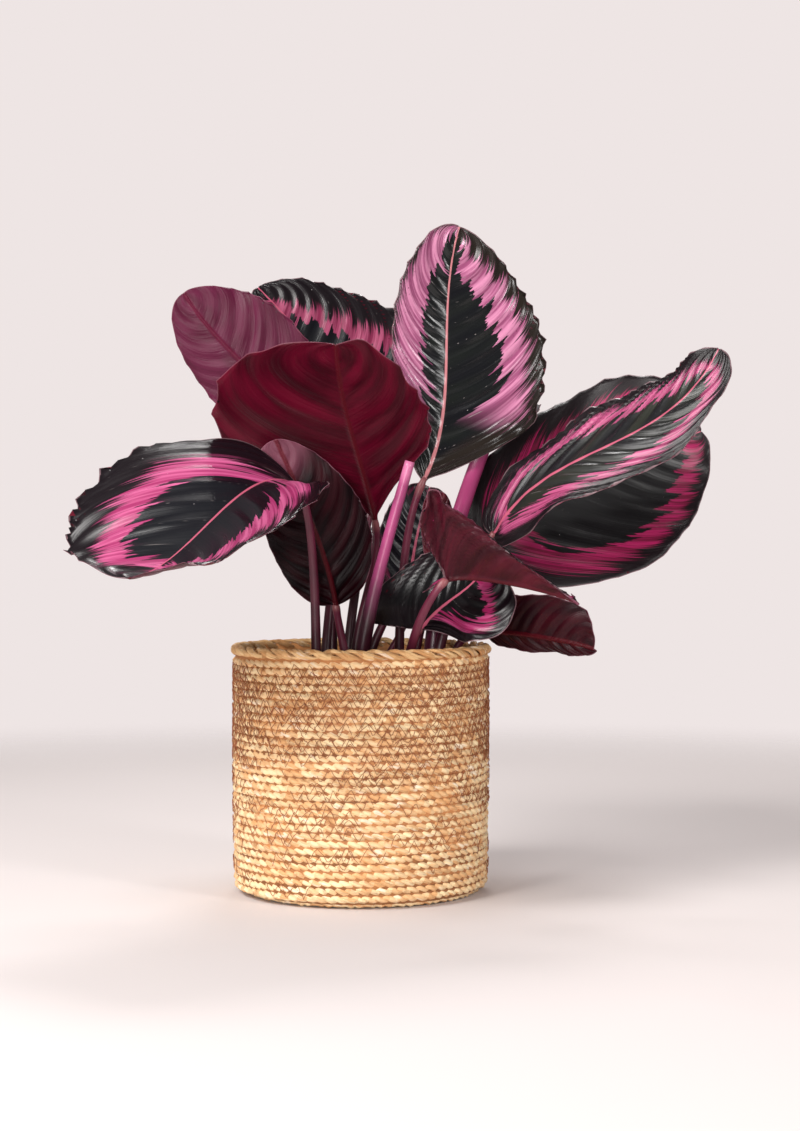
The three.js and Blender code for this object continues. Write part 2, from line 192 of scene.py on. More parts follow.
# Leaves: the same records and the same formula as the solids, on a fine grid
LEAF_THICKNESS = 0.7
LEAF_ROWS = 96
LEAF_COLUMNS = 30
LEAF_START = 0.004
LOBE_SLANT = 0.5
LOBE_SPAN = 0.35
MARGIN_EASE = 1.3
VEIN_LEAN = 0.5
VEIN_SPAN = 300.0
VEIN_COUNT = 10
UNEVEN_VEINS = ((0.9, 1.3), (0.5, 3.1))
HALF_PHASE = 2.1
PLEAT_DEPTH = 1.0
PLEAT_START = 0.35
PLEAT_FADE = 0.3
PLEAT_CUSP = 0.6
WAVE_DEPTH = 2.5
WAVES = (2.6, 5.1)
SECOND_WAVE = 0.6
EDGE_THINNING = 0.65
RIDGE_WIDTH = (1.3, 0.35)
RIDGE_HEIGHT = (1.5, 0.25)
UPPER_RIDGE = (0.12, 0.9)
MAP_START = 0.4
MAP_REACH = 50.0
ROOT_LEVEL = 128.0
STALK_SIZES = (3.3, 2.2)

LEAVES = {
    "left_back": dict(
        rib=[[-29, 50, 277], [-57, 50, 324], [-91, 48, 360], [-121, 48, 398]],
        face=[[-0.25, 0.9, 0.35]], half=[45, 34], skew=[0, 0.14], sweep=[0.06, 0.04], lobe=[0.05, -0.01],
        blunt=[1.25, 1.03], root=[-24, 4], seed=1, cut=0.04),
    "back_centre": dict(
        rib=[[7, 75, 296], [-14, 90, 333], [-43, 100, 373], [-75, 104, 408]],
        face=[[-0.1, -0.8, 0.6]], half=[41, 84], fold=[8, 8], curl=[0, -20], skew=[0.59, 0.45],
        sweep=[0.05, -0.1], lobe=[0.04, 0.08], blunt=[0.6, 0.75], veins=11, root=[-10, 30],
        ease=0.15, seed=2, cut=0.05, pleat=1.6),
    "centre_wine": dict(
        rib=[[9, 6, 244], [0, -23, 280], [-9, -52, 313], [-14, -87, 351]],
        face=[[0.1, 0.75, 0.65]], half=[53, 89], curl=[-10, -10], skew=[0.14, -0.07], sweep=[0.14, 0.09],
        lobe=[-0.11, -0.2], blunt=[1.08, 1.02], veins=6, root=[-6, 8], seed=3, cut=0.055, pleat=1.3,
        cusp=0),
    "upright_tall": dict(
        rib=[[41, 3, 269], [55, 13, 322], [57, 17, 379], [65, 12, 438]],
        face=[[0.25, -0.95, 0.1]], half=[41, 71], fold=[5, 8], curl=[10, -10], skew=[-0.07, 0.1],
        sweep=[0.06, 0.02], lobe=[0.02, -0.08], blunt=[1.2, 1.25], veins=12, root=[25, 20],
        ease=0.2, seed=4, cut=0.07, pleat=1.5),
    "left_spreading": dict(
        rib=[[-39, -60, 264], [-70, -100, 259], [-100, -140, 228], [-131, -175, 208]],
        face=[[0.12, -0.6, 0.8], [-0.15, -0.4, 0.9]], half=[77, 90], fold=[19, 2], curl=[4, -2],
        skew=[-0.16, 0.3], sweep=[0.09, 0.22], lobe=[0, 0.04], blunt=[0.67, 0.77], veins=8,
        root=[-28, -34], ease=0.12, seed=5, cut=0.09, pleat=1.4),
    "inner_dark": dict(
        rib=[[-16, -20, 188], [-24, -27, 221], [-38, -33, 258], [-54, -37, 294.5]],
        face=[[-0.1, 0.9, 0.35]], half=[35, 31], skew=[0.18, 0.15], sweep=[0.01, 0.05], lobe=[0.02, 0.02],
        blunt=[1.4, 0.87], root=[-8, -14], seed=6, cut=0.02),
    "right_round": dict(
        rib=[[84, 16, 228], [136.5, 28, 257], [186, 36, 283], [228.5, 31, 303]],
        face=[[-0.2, -0.85, 0.5]], half=[70, 70], skew=[0, 0.5], sweep=[0.07, 0.17], root=[45, 16],
        stem=[3.6, 2.6], ease=0.15, seed=7, cut=0.02, pleat=0.5, cusp=0.2),
    "right_long": dict(
        rib=[[86, -22, 233], [130, -42, 276], [183, -55, 303], [227, -60, 351]],
        face=[[-0.3, -0.45, 0.85]], half=[39, 35], fold=[15, -18], skew=[0, 0], sweep=[-0.02, 0],
        lobe=[0.02, 0.04], root=[48, -29], stem=[3.6, 2.6], lift=0.5, ease=0.2, seed=8, cut=0.04, pleat=1.5,
        lean=1.3),
    "front_right_folded": dict(
        rib=[[54, -84, 205], [78, -89, 206], [113, -108, 199], [134, -114, 191]],
        face=[[0.19, 0.75, 0.31], [0.18, 0.96, 0.38]], half=[24, 62], fold=[75, -20], curl=[0, 13],
        skew=[0.3, 0.48], sweep=[0.1, -0.42], lobe=[0.3, 0.39], blunt=[0.8, 2.26], root=[29, -49],
        rise=[0, -0.2, 1], ease=0.2, seed=9, cut=0.02),
    "front_low": dict(
        rib=[[39, -30, 172], [55, -40, 189], [69, -49, 200], [81, -57, 216]],
        face=[[-0.1, -0.75, 0.6]], half=[44, 42], fold=[0, 0], skew=[0.35, -0.4],
        sweep=[-0.07, 0.08], lobe=[0.3, 0], blunt=[0.75, 1.3], root=[34, -24], stem=[2.8, 1.6], seed=10,
        cut=0.02, veins=7, pleat=1.1),
    "rim_right": dict(
        rib=[[76, 4, 170], [96, -16, 170], [122, -35, 167], [149, -49, 161]],
        face=[[0.1, 0.95, 0.3]], half=[12, 28], fold=[10, 5], skew=[0.35, -0.3], sweep=[0.13, 0.02],
        lobe=[0.05, -0.02], blunt=[1.03, 1.05], root=[56, 10], stem=[2.8, 2.2], seed=11, cut=0.015),
    "inner_small": dict(
        rib=[[32, 35, 186], [34, 45, 214], [39, 50, 240], [46, 50, 266]],
        face=[[0, -0.95, 0.3]], half=[26, 22], root=[12, 34], stem=[2.6, 1.8], seed=12, cut=0.02),
    "inner_bud": dict(
        rib=[[50, 30, 213], [51, 36, 229], [51, 40, 247], [50, 42, 262]],
        face=[[0, 0.95, 0.3]], half=[11, 11], root=[35, 29], stem=[2.6, 1.8], wave=1, seed=13, cut=0.01),
    "rear_high": dict(
        rib=[[90, 96, 312], [91, 132, 320], [88, 168, 324], [82, 202, 321]],
        face=[[0.1, -0.5, 0.85]], half=[38, 38], fold=[10, 10], root=[46, -16], stem=[5.6, 5], lift=0.42,
        ease=0.55, seed=14, cut=0.03),
    "rear_left": dict(
        rib=[[-22, 96, 262], [-27, 130, 290], [-34, 168, 310], [-40, 204, 318]],
        face=[[0, -0.5, 0.85]], half=[48, 48], fold=[10, 10], root=[-20, 42], seed=15, cut=0.03),
    "rear_right": dict(
        rib=[[79, 70, 232], [110, 105, 252], [141, 142, 262], [172, 175, 260]],
        face=[[0, -0.3, 0.95]], half=[44, 44], fold=[10, 10], root=[32, 50], seed=16, cut=0.03),
    "rear_low": dict(
        rib=[[26, 72, 212], [15, 110, 232], [8, 146, 238], [2, 182, 232]],
        face=[[0, -0.3, 0.95]], half=[42, 42], fold=[10, 10], root=[2, 48], seed=17, cut=0.03),
}


def unit(a):
    return a / np.maximum(np.linalg.norm(a, axis=-1, keepdims=True), 1e-9)


def midrib(points, s):
    """A cubic through four points, straight beyond both ends: place and direction"""
    points = np.asarray(points, float)
    knots = (0.0, 1 / 3, 2 / 3, 1.0)
    c = np.clip(s, 0, 1)[..., None]
    place = 0.0
    along = 0.0
    for i in range(4):
        a, b, d = [knots[j] for j in range(4) if j != i]
        scale = (knots[i] - a) * (knots[i] - b) * (knots[i] - d)
        place = place + (c - a) * (c - b) * (c - d) / scale * points[i]
        along = along + ((c - a) * (c - b) + (c - a) * (c - d) + (c - b) * (c - d)) / scale * points[i]
    return place + along * (s[..., None] - c), along


def blade_surface(leaf, q, t, side):
    """Points of one half of a blade, and for each its place along and across, its side vein and crease"""
    k = 0 if side > 0 else 1

    def own(name, fallback):
        return leaf[name][k] if name in leaf else fallback

    fold = math.radians(own("fold", 5))
    curl = math.radians(own("curl", 0))
    early = np.sin(np.pi * np.minimum(q / LOBE_SPAN, 1))
    margin = (1 - np.cos(np.pi * q)) / 2
    margin = margin + own("sweep", 0.1) * np.sin(np.pi * q) - own("lobe", 0.08) * early
    width = np.sin(np.pi * q) ** own("blunt", 0.85) * (1 + own("skew", 0.12) * np.cos(np.pi * q))
    s = q + (margin - q) * t**MARGIN_EASE
    veins = leaf.get("veins", VEIN_COUNT)
    phase = leaf["seed"] * 1.7 + (0 if side > 0 else HALF_PHASE)
    length = np.linalg.norm(np.diff(np.asarray(leaf["rib"], float), axis=0), axis=1).sum()
    flat_out = leaf["half"][k] * width * t
    s = np.maximum(s, -LOBE_SLANT * flat_out / length)
    lean = leaf.get("lean", VEIN_LEAN)
    vein = s * length - lean * (flat_out + np.mean(leaf["half"]) * t**3)
    share = vein / length
    (long_sway, long_count), (short_sway, short_count) = UNEVEN_VEINS
    uneven = long_sway * np.sin(2 * np.pi * long_count * share + phase)
    uneven = uneven + short_sway * np.sin(2 * np.pi * short_count * share + phase * 2)
    turn = 2 * np.pi * veins * share + phase + uneven
    crease = np.abs(np.sin(turn / 2))
    out = flat_out * (1 - leaf["cut"] * crease**0.7 * t**8)
    place, along = midrib(leaf["rib"], s)
    forward = unit(along)
    c = np.clip(s, 0, 1)[..., None]
    face = np.asarray(leaf["face"], float)
    look = face[0] * (1 - c) + face[-1] * c
    up = unit(look - forward * np.sum(look * forward, -1, keepdims=True))
    across = np.cross(up, forward) * side
    angle = fold + curl * t / 2
    cusp = leaf.get("cusp", PLEAT_CUSP)
    sharp = (1 - cusp) * np.cos(turn) + cusp * (1 - 2 * crease)
    pleat = leaf.get("pleat", PLEAT_DEPTH) * sharp * np.minimum(t / PLEAT_START, 1) * (1 - PLEAT_FADE * t)
    first_wave = np.sin(2 * np.pi * WAVES[0] * q + phase * 1.3)
    second_wave = SECOND_WAVE * np.sin(2 * np.pi * WAVES[1] * q + phase * 2.2)
    wave = leaf.get("wave", WAVE_DEPTH) * t**2.5 * (first_wave + second_wave)
    raised = out * np.sin(angle) + (pleat + wave) * np.sqrt(np.maximum(np.sin(np.pi * q), 0))
    points = place + across * (out * np.cos(angle))[..., None] + up * raised[..., None]
    return points, np.stack([s * length, out * side, vein, crease], -1)


def blade_mesh(name, leaf, upper, under):
    t = (np.arange(LEAF_COLUMNS + 1) / LEAF_COLUMNS) ** 1.35
    even = np.linspace(LEAF_START, 1 - LEAF_START, LEAF_ROWS)
    rounded = (1 - np.cos(np.pi * np.arange(LEAF_ROWS) / (LEAF_ROWS - 1))) / 2
    q = 0.5 * (LEAF_START + (1 - 2 * LEAF_START) * rounded) + 0.5 * even
    grid_q, grid_t = np.meshgrid(q, t, indexing="ij")
    left, left_flat = blade_surface(leaf, grid_q, grid_t, 1)
    right, right_flat = blade_surface(leaf, grid_q, grid_t, -1)
    points = np.concatenate([left[:, :0:-1], right], 1)
    flat = np.concatenate([left_flat[:, :0:-1], right_flat], 1)
    reach = np.concatenate([-grid_t[:, :0:-1], grid_t], 1)
    all_q = np.concatenate([grid_q[:, :0:-1], grid_q], 1)
    rows, columns = reach.shape
    down = np.gradient(points, axis=0)
    across = np.gradient(points, axis=1)
    normal = unit(np.cross(across, down))
    outline = np.concatenate([flat[:, 0, :2], flat[:, -1, :2]])
    away = np.sqrt(((flat[:, :, None, :2] - outline[None, None]) ** 2).sum(-1)).min(-1)
    from_rib = np.abs(flat[..., 1])
    halves = np.where(reach < 0, leaf["half"][0], leaf["half"][1])
    mean_half = sum(leaf["half"]) / 2
    ease = np.clip(np.abs(reach) * 2.5, 0, 1)
    ring = away / (mean_half + (halves - mean_half) * ease)
    thick = LEAF_THICKNESS / 2 * (1 - EDGE_THINNING * np.abs(reach) ** 10)
    ridge_width = RIDGE_WIDTH[0] * (1 - all_q) ** 0.6 + RIDGE_WIDTH[1]
    ridge_height = RIDGE_HEIGHT[0] * (1 - all_q) ** 0.7 + RIDGE_HEIGHT[1]
    ridge = ridge_height * np.exp(-((from_rib / ridge_width) ** 2))
    ridge *= leaf.get("stem", STALK_SIZES)[1] / STALK_SIZES[1]
    upper_ridge = UPPER_RIDGE[0] * np.exp(-((from_rib / UPPER_RIDGE[1]) ** 2))
    top = points + normal * (thick + upper_ridge)[..., None]
    bottom = points - normal * (thick + ridge)[..., None]
    corners = np.concatenate([top.reshape(-1, 3), bottom.reshape(-1, 3)]) * MM
    count = rows * columns
    index = np.arange(count).reshape(rows, columns)
    quads = np.stack([index[:-1, :-1], index[:-1, 1:], index[1:, 1:], index[1:, :-1]], -1).reshape(-1, 4)
    rim = np.concatenate([index[0, :-1], index[:-1, -1], index[-1, :0:-1], index[:0:-1, 0]])
    after = np.roll(rim, -1)
    wall = np.stack([rim, rim + count, after + count, after], -1)
    faces = np.concatenate([quads, quads[:, ::-1] + count, wall])
    mesh = bpy.data.meshes.new(name)
    mesh.from_pydata(corners.tolist(), [], faces.tolist())
    mesh.materials.append(upper)
    mesh.materials.append(under)
    kind = np.zeros(len(faces), np.int32)
    kind[len(quads):] = 1
    mesh.polygons.foreach_set("material_index", kind)
    mesh.polygons.foreach_set("use_smooth", np.ones(len(faces), bool))
    corner_vertex = np.zeros(len(mesh.loops), np.int32)
    mesh.loops.foreach_get("vertex_index", corner_vertex)
    for label, first, second in (
        ("leaf", flat[..., 2] / VEIN_SPAN + MAP_START, 0.5 + 0.5 * reach),
        ("reach", ring, from_rib / MAP_REACH),
        ("margin", away / MAP_REACH, all_q),
        ("ridge", flat[..., 3], all_q),
    ):
        values = np.stack([first.ravel(), second.ravel()], -1)
        values = np.concatenate([values, values])
        layer = mesh.uv_layers.new(name=label)
        layer.data.foreach_set("uv", values[corner_vertex].astype(np.float32).ravel())
    mesh.update()
    return mesh


# Looks of the leaves. A band runs between two distances from the margin, as shares of the half width,
# given for the left and for the right half of the blade. It fades in along the blade, its inner edge has
# teeth of so many millimetres, and spike draws the core out to a point at the tip
PLAIN_LOOK = dict(
    inner=(0.42, 0.42), outer=(0.2, 0.2), fade=(-0.2, -0.1), tooth=8.0, spike=0.1,
    pink=(226, 84, 146), deep=(150, 30, 84), core=(10, 10, 18), core_green=(14, 16, 22), margin=(18, 9, 15),
    rib=(196, 92, 118), gloss=0.24, crest=0.4,
    wine=(92, 8, 30), wine_deep=(36, 1, 8), under_rib=(84, 10, 22), bloom=0.3, shine=0.3,
    tip=(150, 90, 120), tip_from=1.5)
LOOKS = {
    # left_back: its lighter magenta wine is painted light, for light shining through the leaf from behind.
    "left_back": dict(
        wine=(92, 26, 56), wine_deep=(76, 16, 42), under_rib=(92, 20, 46), bloom=0.2, shine=0.2),
    "back_centre": dict(
        inner=(0.44, 0.44), outer=(0.26, 0.26), pink=(176, 84, 118), deep=(128, 40, 74)),
    "centre_wine": dict(
        wine=(94, 4, 32), wine_deep=(60, 2, 18), bloom=0.12, shine=0.16),
    "upright_tall": dict(
        inner=(0.46, 0.38), outer=(0.04, 0.13), fade=(0.24, 0.4), spike=0.34,
        pink=(206, 134, 168), deep=(150, 76, 114), core=(12, 13, 18), core_green=(19, 23, 21),
        margin=(34, 27, 22), rib=(206, 130, 136), gloss=0.14, crest=0.8),
    "left_spreading": dict(
        inner=(0.34, 0.46), outer=(0.14, 0.24), pink=(198, 94, 140), deep=(156, 48, 98), spike=0.2,
        shine=0.24),
    # inner_dark: its near-black wine is painted shade, and its mauve tip is painted light.
    "inner_dark": dict(
        wine=(40, 3, 12), wine_deep=(12, 0, 3), bloom=0.0, shine=0.12, tip=(112, 62, 78), tip_from=0.72),
    "right_round": dict(
        inner=(0.42, 0.34), outer=(0.22, 0.14), pink=(172, 30, 92), deep=(112, 18, 54), core=(7, 6, 9),
        core_green=(10, 9, 12), margin=(20, 8, 14), tooth=11.0, gloss=0.34, crest=0.12),
    "right_long": dict(
        inner=(0.44, 0.42), outer=(0.24, 0.22), pink=(188, 86, 130), deep=(144, 54, 94),
        core=(17, 17, 21), core_green=(36, 38, 31), tooth=6.0),
    # front_right_folded: its lilac tip is painted light.
    "front_right_folded": dict(
        wine=(80, 14, 32), wine_deep=(46, 5, 16), bloom=0.14, shine=0.2, under_rib=(74, 10, 22),
        tip=(190, 118, 156), tip_from=0.85),
    "front_low": dict(
        inner=(0.0, 0.34), outer=(0.2, 0.22), pink=(176, 66, 116), core=(6, 6, 9), core_green=(9, 9, 11),
        shine=0.2),
    "rim_right": dict(
        wine=(56, 9, 20), wine_deep=(32, 4, 12), bloom=0.1, shine=0.2),
    "inner_small": dict(
        inner=(0.2, 0.2), outer=(0.12, 0.12), pink=(110, 30, 66), deep=(80, 16, 44)),
}

# Streaks over the length of a blade's map, for each thing that they colour or raise
UPPER_STREAKS = dict(sway=30.0, jag=110.0, fray=130.0, tint=60.0, green=9.0, fine=260.0, medium=70.0)
UNDER_STREAKS = dict(cloud=12.0, fine=220.0, medium=60.0)
CELL_SHIFT = 0.13
CELL_SLOPE = 0.1
JAG_DEPTH = 0.16
FRAY_DEPTH = 0.42
END_SHIFT = 0.1
INNER_SOFT = 0.014
OUTER_SOFT = (-0.03, 0.05)
MARGIN_ZONE = 0.1
SPIKE_SPAN = (0.8, 1.0)
TIP_SPAN = 0.12
RIB_TAPER = (-0.02, 0.032)
RIB_SOFT = 0.6
UNDER_RIB_EDGE = (0.02, 0.04)
MARGIN_LINE = (0.006, 0.014)
UNDER_MARGIN_LINE = (0.005, 0.012)
CREST_SPAN = (0.01, 0.08)
UNDER_CREST_SPAN = (0.02, 0.1)
# Colour of the painted highlight along the pleat crests
CREST_HIGHLIGHT_COLOUR = (150, 142, 140)
MARGIN_COLOUR = (176, 140, 148)
UNDER_MARGIN_COLOUR = (150, 96, 112)
BLOOM_COLOUR = (226, 150, 190)
DUST_COLOUR = (210, 205, 205)
DUST_SCALE = 230.0
DUST_SIZE = (0.05, 0.09)
DUST_PATCHES = 120.0
DUST_RARE = 0.62
GRAIN_DEPTH = 0.0003
MEDIUM_SHARE = 2.5
UPPER_RELIEF = 0.26
UNDER_RELIEF = 0.6
UPPER_ROUGH_SPREAD = 0.16
UNDER_ROUGH_SPREAD = 0.2
UNDER_ROUGH = 0.3
UPPER_SHINE = 0.42


def leaf_coordinates(wiring):
    leaf = wiring.map_values("leaf")
    reach = wiring.map_values("reach")
    margin = wiring.map_values("margin")
    ridge = wiring.map_values("ridge")
    signed = wiring.sum("MULTIPLY_ADD", leaf[1], 2.0, -1.0)
    half = wiring.sum("ABSOLUTE", signed)
    side = wiring.sum("SIGN", signed)
    return dict(vein=leaf[0], t=half, side=side, ring=reach[0], rib=reach[1],
                margin=margin[0], q=margin[1], crease=ridge[0])


def streaks(wiring, at, fineness, stretch, seed, detail=2.0):
    """Grain drawn out along the side veins; fineness is its count over a blade's length"""
    place = wiring.vector(
        wiring.sum("MULTIPLY", at["vein"], fineness * 2.0),
        wiring.sum("MULTIPLY", at["t"], stretch),
        wiring.sum("MULTIPLY_ADD", at["side"], 7.3, seed))
    return wiring.grain(place, 1.0, detail)


def band_mask(w, at, look, seed, outer):
    """Where the pink band lies: jagged towards the core, frayed towards the margin"""
    inner = by_side(w, at, look["inner"])
    cells = w.sum("MULTIPLY_ADD", at["vein"], VEIN_SPAN / look["tooth"], seed)
    sway = w.off_centre(streaks(w, at, UPPER_STREAKS["sway"], 1.0, seed + 3.0))
    cells = w.sum("ADD", cells, sway)
    chance = w.off_centre(w.chance(w.vector(w.sum("FLOOR", cells), at["side"], seed)))
    slope = w.off_centre(w.sum("FRACT", cells))
    jag = w.off_centre(streaks(w, at, UPPER_STREAKS["jag"], 1.5, seed, 2.0))
    inside = w.sum("MULTIPLY_ADD", chance, CELL_SHIFT, at["ring"])
    inside = w.sum("MULTIPLY_ADD", slope, CELL_SLOPE, inside)
    inside = w.sum("MULTIPLY_ADD", jag, JAG_DEPTH, inside)
    inside = w.sum("ADD", inside, w.between(at["q"], *SPIKE_SPAN, 0.0, look["spike"]))
    inner_cut = w.between(w.sum("SUBTRACT", inside, inner), 0.0, INNER_SOFT, 1.0, 0.0)
    fray = w.off_centre(streaks(w, at, UPPER_STREAKS["fray"], 2.0, seed + 9.0, 3.0))
    ends = w.sum("MULTIPLY_ADD", fray, FRAY_DEPTH, at["ring"])
    ends = w.sum("MULTIPLY_ADD", chance, END_SHIFT, ends)
    outer_cut = w.between(w.sum("SUBTRACT", ends, outer), *OUTER_SOFT)
    band = w.sum("MULTIPLY", inner_cut, outer_cut)
    return w.sum("MULTIPLY", band, w.between(at["q"], *look["fade"]))


def by_side(w, at, pair):
    """The left half's value on the left and the right half's on the right"""
    return w.sum("MULTIPLY_ADD", at["side"], (pair[1] - pair[0]) / 2, (pair[0] + pair[1]) / 2)


def leaf_grain(w, at, kinds, seed):
    fine = streaks(w, at, kinds["fine"], 2.0, seed + 1.0, 2.0)
    medium = streaks(w, at, kinds["medium"], 1.0, seed + 6.0, 1.0)
    return w.sum("MULTIPLY_ADD", medium, MEDIUM_SHARE, fine), medium


def upper_finish(name, leaf, look):
    w = Wiring("leaf_upper_" + name)
    at = leaf_coordinates(w)
    seed = leaf["seed"] * 3.1
    outer = by_side(w, at, look["outer"])
    band = band_mask(w, at, look, seed, outer)
    tint = w.between(streaks(w, at, UPPER_STREAKS["tint"], 1.5, seed + 2.0, 3.0), 0.4, 0.66)
    # Painted shade: the pink turns towards the deep colour in the pleat creases, as well as in streaks at
    # random.
    crease_shade = w.between(at["crease"], 0.55, 1.0, 0.0, 0.5)
    pink = w.blend(w.sum("ADD", tint, crease_shade, clamp=True), tone(*look["pink"]), tone(*look["deep"]))
    green = w.between(streaks(w, at, UPPER_STREAKS["green"], 1.0, seed + 5.0), 0.35, 0.7)
    core = w.blend(green, tone(*look["core"]), tone(*look["core_green"]))
    edge_zone = w.between(w.sum("SUBTRACT", at["ring"], outer), 0.0, MARGIN_ZONE, 1.0, 0.0)
    dark = w.blend(w.sum("MULTIPLY", edge_zone, 0.9), core, tone(*look["margin"]))
    colour = w.blend(band, dark, pink)
    # Painted highlight: a pale grey line along each pleat crest, as strong as the look's crest value.
    crest_highlight_and_vein = w.between(at["crease"], *CREST_SPAN, look["crest"], 0.0)
    colour = w.blend(crest_highlight_and_vein, colour, tone(*CREST_HIGHLIGHT_COLOUR))
    rib_width = w.sum("MULTIPLY_ADD", at["q"], *RIB_TAPER)
    rib_line = w.between(at["rib"], w.sum("MULTIPLY", rib_width, RIB_SOFT), rib_width, 1.0, 0.0)
    colour = w.blend(w.sum("MULTIPLY", rib_line, 0.9), colour, tone(*look["rib"]))
    pale_edge = w.between(at["margin"], *MARGIN_LINE, 0.45, 0.0)
    colour = w.blend(pale_edge, colour, tone(*MARGIN_COLOUR))
    place = w.own_place()
    specks = w.put("ShaderNodeTexVoronoi", {"Vector": place, "Scale": DUST_SCALE})
    dust = w.between(specks.outputs["Distance"], *DUST_SIZE, 0.5, 0.0)
    rare = w.sum("GREATER_THAN", w.grain(place, DUST_PATCHES), DUST_RARE)
    colour = w.blend(w.sum("MULTIPLY", dust, rare), colour, tone(*DUST_COLOUR))
    height, medium = leaf_grain(w, at, UPPER_STREAKS, seed)
    rough = w.sum("MULTIPLY_ADD", medium, UPPER_ROUGH_SPREAD, look["gloss"])
    normal = w.relief(height, GRAIN_DEPTH, UPPER_RELIEF)
    return w.finish(colour, rough, normal, Specular_IOR_Level=UPPER_SHINE)


def under_finish(name, leaf, look):
    w = Wiring("leaf_under_" + name)
    at = leaf_coordinates(w)
    seed = leaf["seed"] * 2.3
    cloud = w.between(streaks(w, at, UNDER_STREAKS["cloud"], 1.6, seed), 0.3, 0.7)
    # Painted shade: the wine darkens along the pleat grooves.
    groove_shade = w.between(at["crease"], 0.0, 0.7, 0.1, 0.0)
    lightness = w.sum("SUBTRACT", cloud, groove_shade, clamp=True)
    colour = w.blend(lightness, tone(*look["wine_deep"]), tone(*look["wine"]))
    # On the underside the same line is the pale side vein along each groove, the leaf's own colour.
    crest_highlight_and_vein = w.between(at["crease"], *UNDER_CREST_SPAN, 0.16, 0.0)
    colour = w.blend(crest_highlight_and_vein, colour, tone(*[min(255, int(v * 1.2)) for v in look["wine"]]))
    # Painted light: towards the tip the underside turns to the look's tip colour, as if lit.
    lit = w.between(at["q"], look["tip_from"], look["tip_from"] + TIP_SPAN, 0.0, 0.85)
    colour = w.blend(lit, colour, tone(*look["tip"]))
    rib_line = w.between(at["rib"], *UNDER_RIB_EDGE, 0.75, 0.0)
    colour = w.blend(rib_line, colour, tone(*look["under_rib"]))
    pale_edge = w.between(at["margin"], *UNDER_MARGIN_LINE, 0.4, 0.0)
    colour = w.blend(pale_edge, colour, tone(*UNDER_MARGIN_COLOUR))
    height, medium = leaf_grain(w, at, UNDER_STREAKS, seed)
    rough = w.sum("MULTIPLY_ADD", medium, UNDER_ROUGH_SPREAD, UNDER_ROUGH)
    normal = w.relief(height, GRAIN_DEPTH, UNDER_RELIEF)
    return w.finish(
        colour, rough, normal, Specular_IOR_Level=look["shine"], Sheen_Weight=look["bloom"] * 0.4,
        Sheen_Roughness=0.4, Sheen_Tint=tone(*BLOOM_COLOUR))


# Stalks: round, tapered, with a swollen joint just below the blade
STALK_STEPS = 42
STALK_SIDES = 16
BURIED = 10.0
INTO_BLADE = 2.0
ROOT_SWELL = (1.1, 0.08)
JOINT_SWELL = (0.35, 0.93, 0.05)
NECK = (0.97, 0.85)
STALK_LINES = (900.0, 900.0, 30.0)
STALK_PATCHES = 60.0
PATCH_SHADE = 0.45
JOINT_SPAN = (0.9, 0.96)
CUT_STALK = [[-2, -34, 128], [2, -42, 180], [18, -48, 230], [32, -50, 280]]
CUT_STALK_SHARES = (0, 0.35, 0.6, 1.0)
CUT_STALK_RADII = (5.4, 4.4, 3.7, 3.2)
CUT_STALK_END = 2.9
CUT_STALK_STEPS = 46
CUT_STALK_SIDES = 24


def bezier(points, s):
    s = s[:, None]
    p = [np.asarray(point, float) for point in points]
    place = (1 - s) ** 3 * p[0] + 3 * (1 - s) ** 2 * s * p[1] + 3 * (1 - s) * s**2 * p[2] + s**3 * p[3]
    along = 3 * (1 - s) ** 2 * (p[1] - p[0]) + 6 * (1 - s) * s * (p[2] - p[1]) + 3 * s**2 * (p[3] - p[2])
    return place, unit(along)


def stalk_points(leaf):
    root = np.array([leaf["root"][0], leaf["root"][1], ROOT_LEVEL])
    start, along = midrib(leaf["rib"], np.array([0.0]))
    base = start[0]
    forward = unit(along[0])
    length = np.linalg.norm(base - root)
    rise = unit(np.asarray(leaf.get("rise", [0, 0, 1]), float))
    low = root + rise * length * leaf.get("lift", 0.45)
    high = base - forward * length * leaf.get("ease", 0.35)
    return [root, low, high, base + forward * INTO_BLADE]


def stalk_mesh(name, places, directions, radii, material, sides=STALK_SIDES):
    side = np.array([1.0, 0.0, 0.0])
    angle = (2 * np.pi * np.arange(sides) / sides)[:, None]
    corners = []
    for place, forward, radius in zip(places, directions, radii):
        side = unit(side - forward * np.dot(side, forward))
        other = np.cross(forward, side)
        corners.append(place + radius * (np.cos(angle) * side + np.sin(angle) * other))
    corners = np.concatenate(corners)
    count = len(places)
    index = np.arange(count * sides).reshape(count, sides)
    near = np.roll(index, -1, 1)
    quads = np.stack([index[:-1], near[:-1], near[1:], index[1:]], -1).reshape(-1, 4).tolist()
    faces = quads + [index[0, ::-1].tolist(), index[-1].tolist()]
    mesh = bpy.data.meshes.new(name)
    mesh.from_pydata((corners * MM).tolist(), [], faces)
    mesh.materials.append(material)
    smooth = np.ones(len(faces), bool)
    smooth[-1] = False
    mesh.polygons.foreach_set("use_smooth", smooth)
    run = np.concatenate([[0], np.cumsum(np.linalg.norm(np.diff(places, axis=0), axis=1))])
    layer = mesh.uv_layers.new(name="stalk")
    around = np.tile(np.arange(sides) / sides, count)
    share = np.repeat(run / run[-1], sides)
    corner_vertex = np.zeros(len(mesh.loops), np.int32)
    mesh.loops.foreach_get("vertex_index", corner_vertex)
    values = np.stack([share, around], -1)[corner_vertex]
    wrap = (corner_vertex % sides == 0) & (np.roll(corner_vertex, 1) % sides == sides - 1)
    values[wrap, 1] = 1.0
    layer.data.foreach_set("uv", values.astype(np.float32).ravel())
    mesh.update()
    return mesh


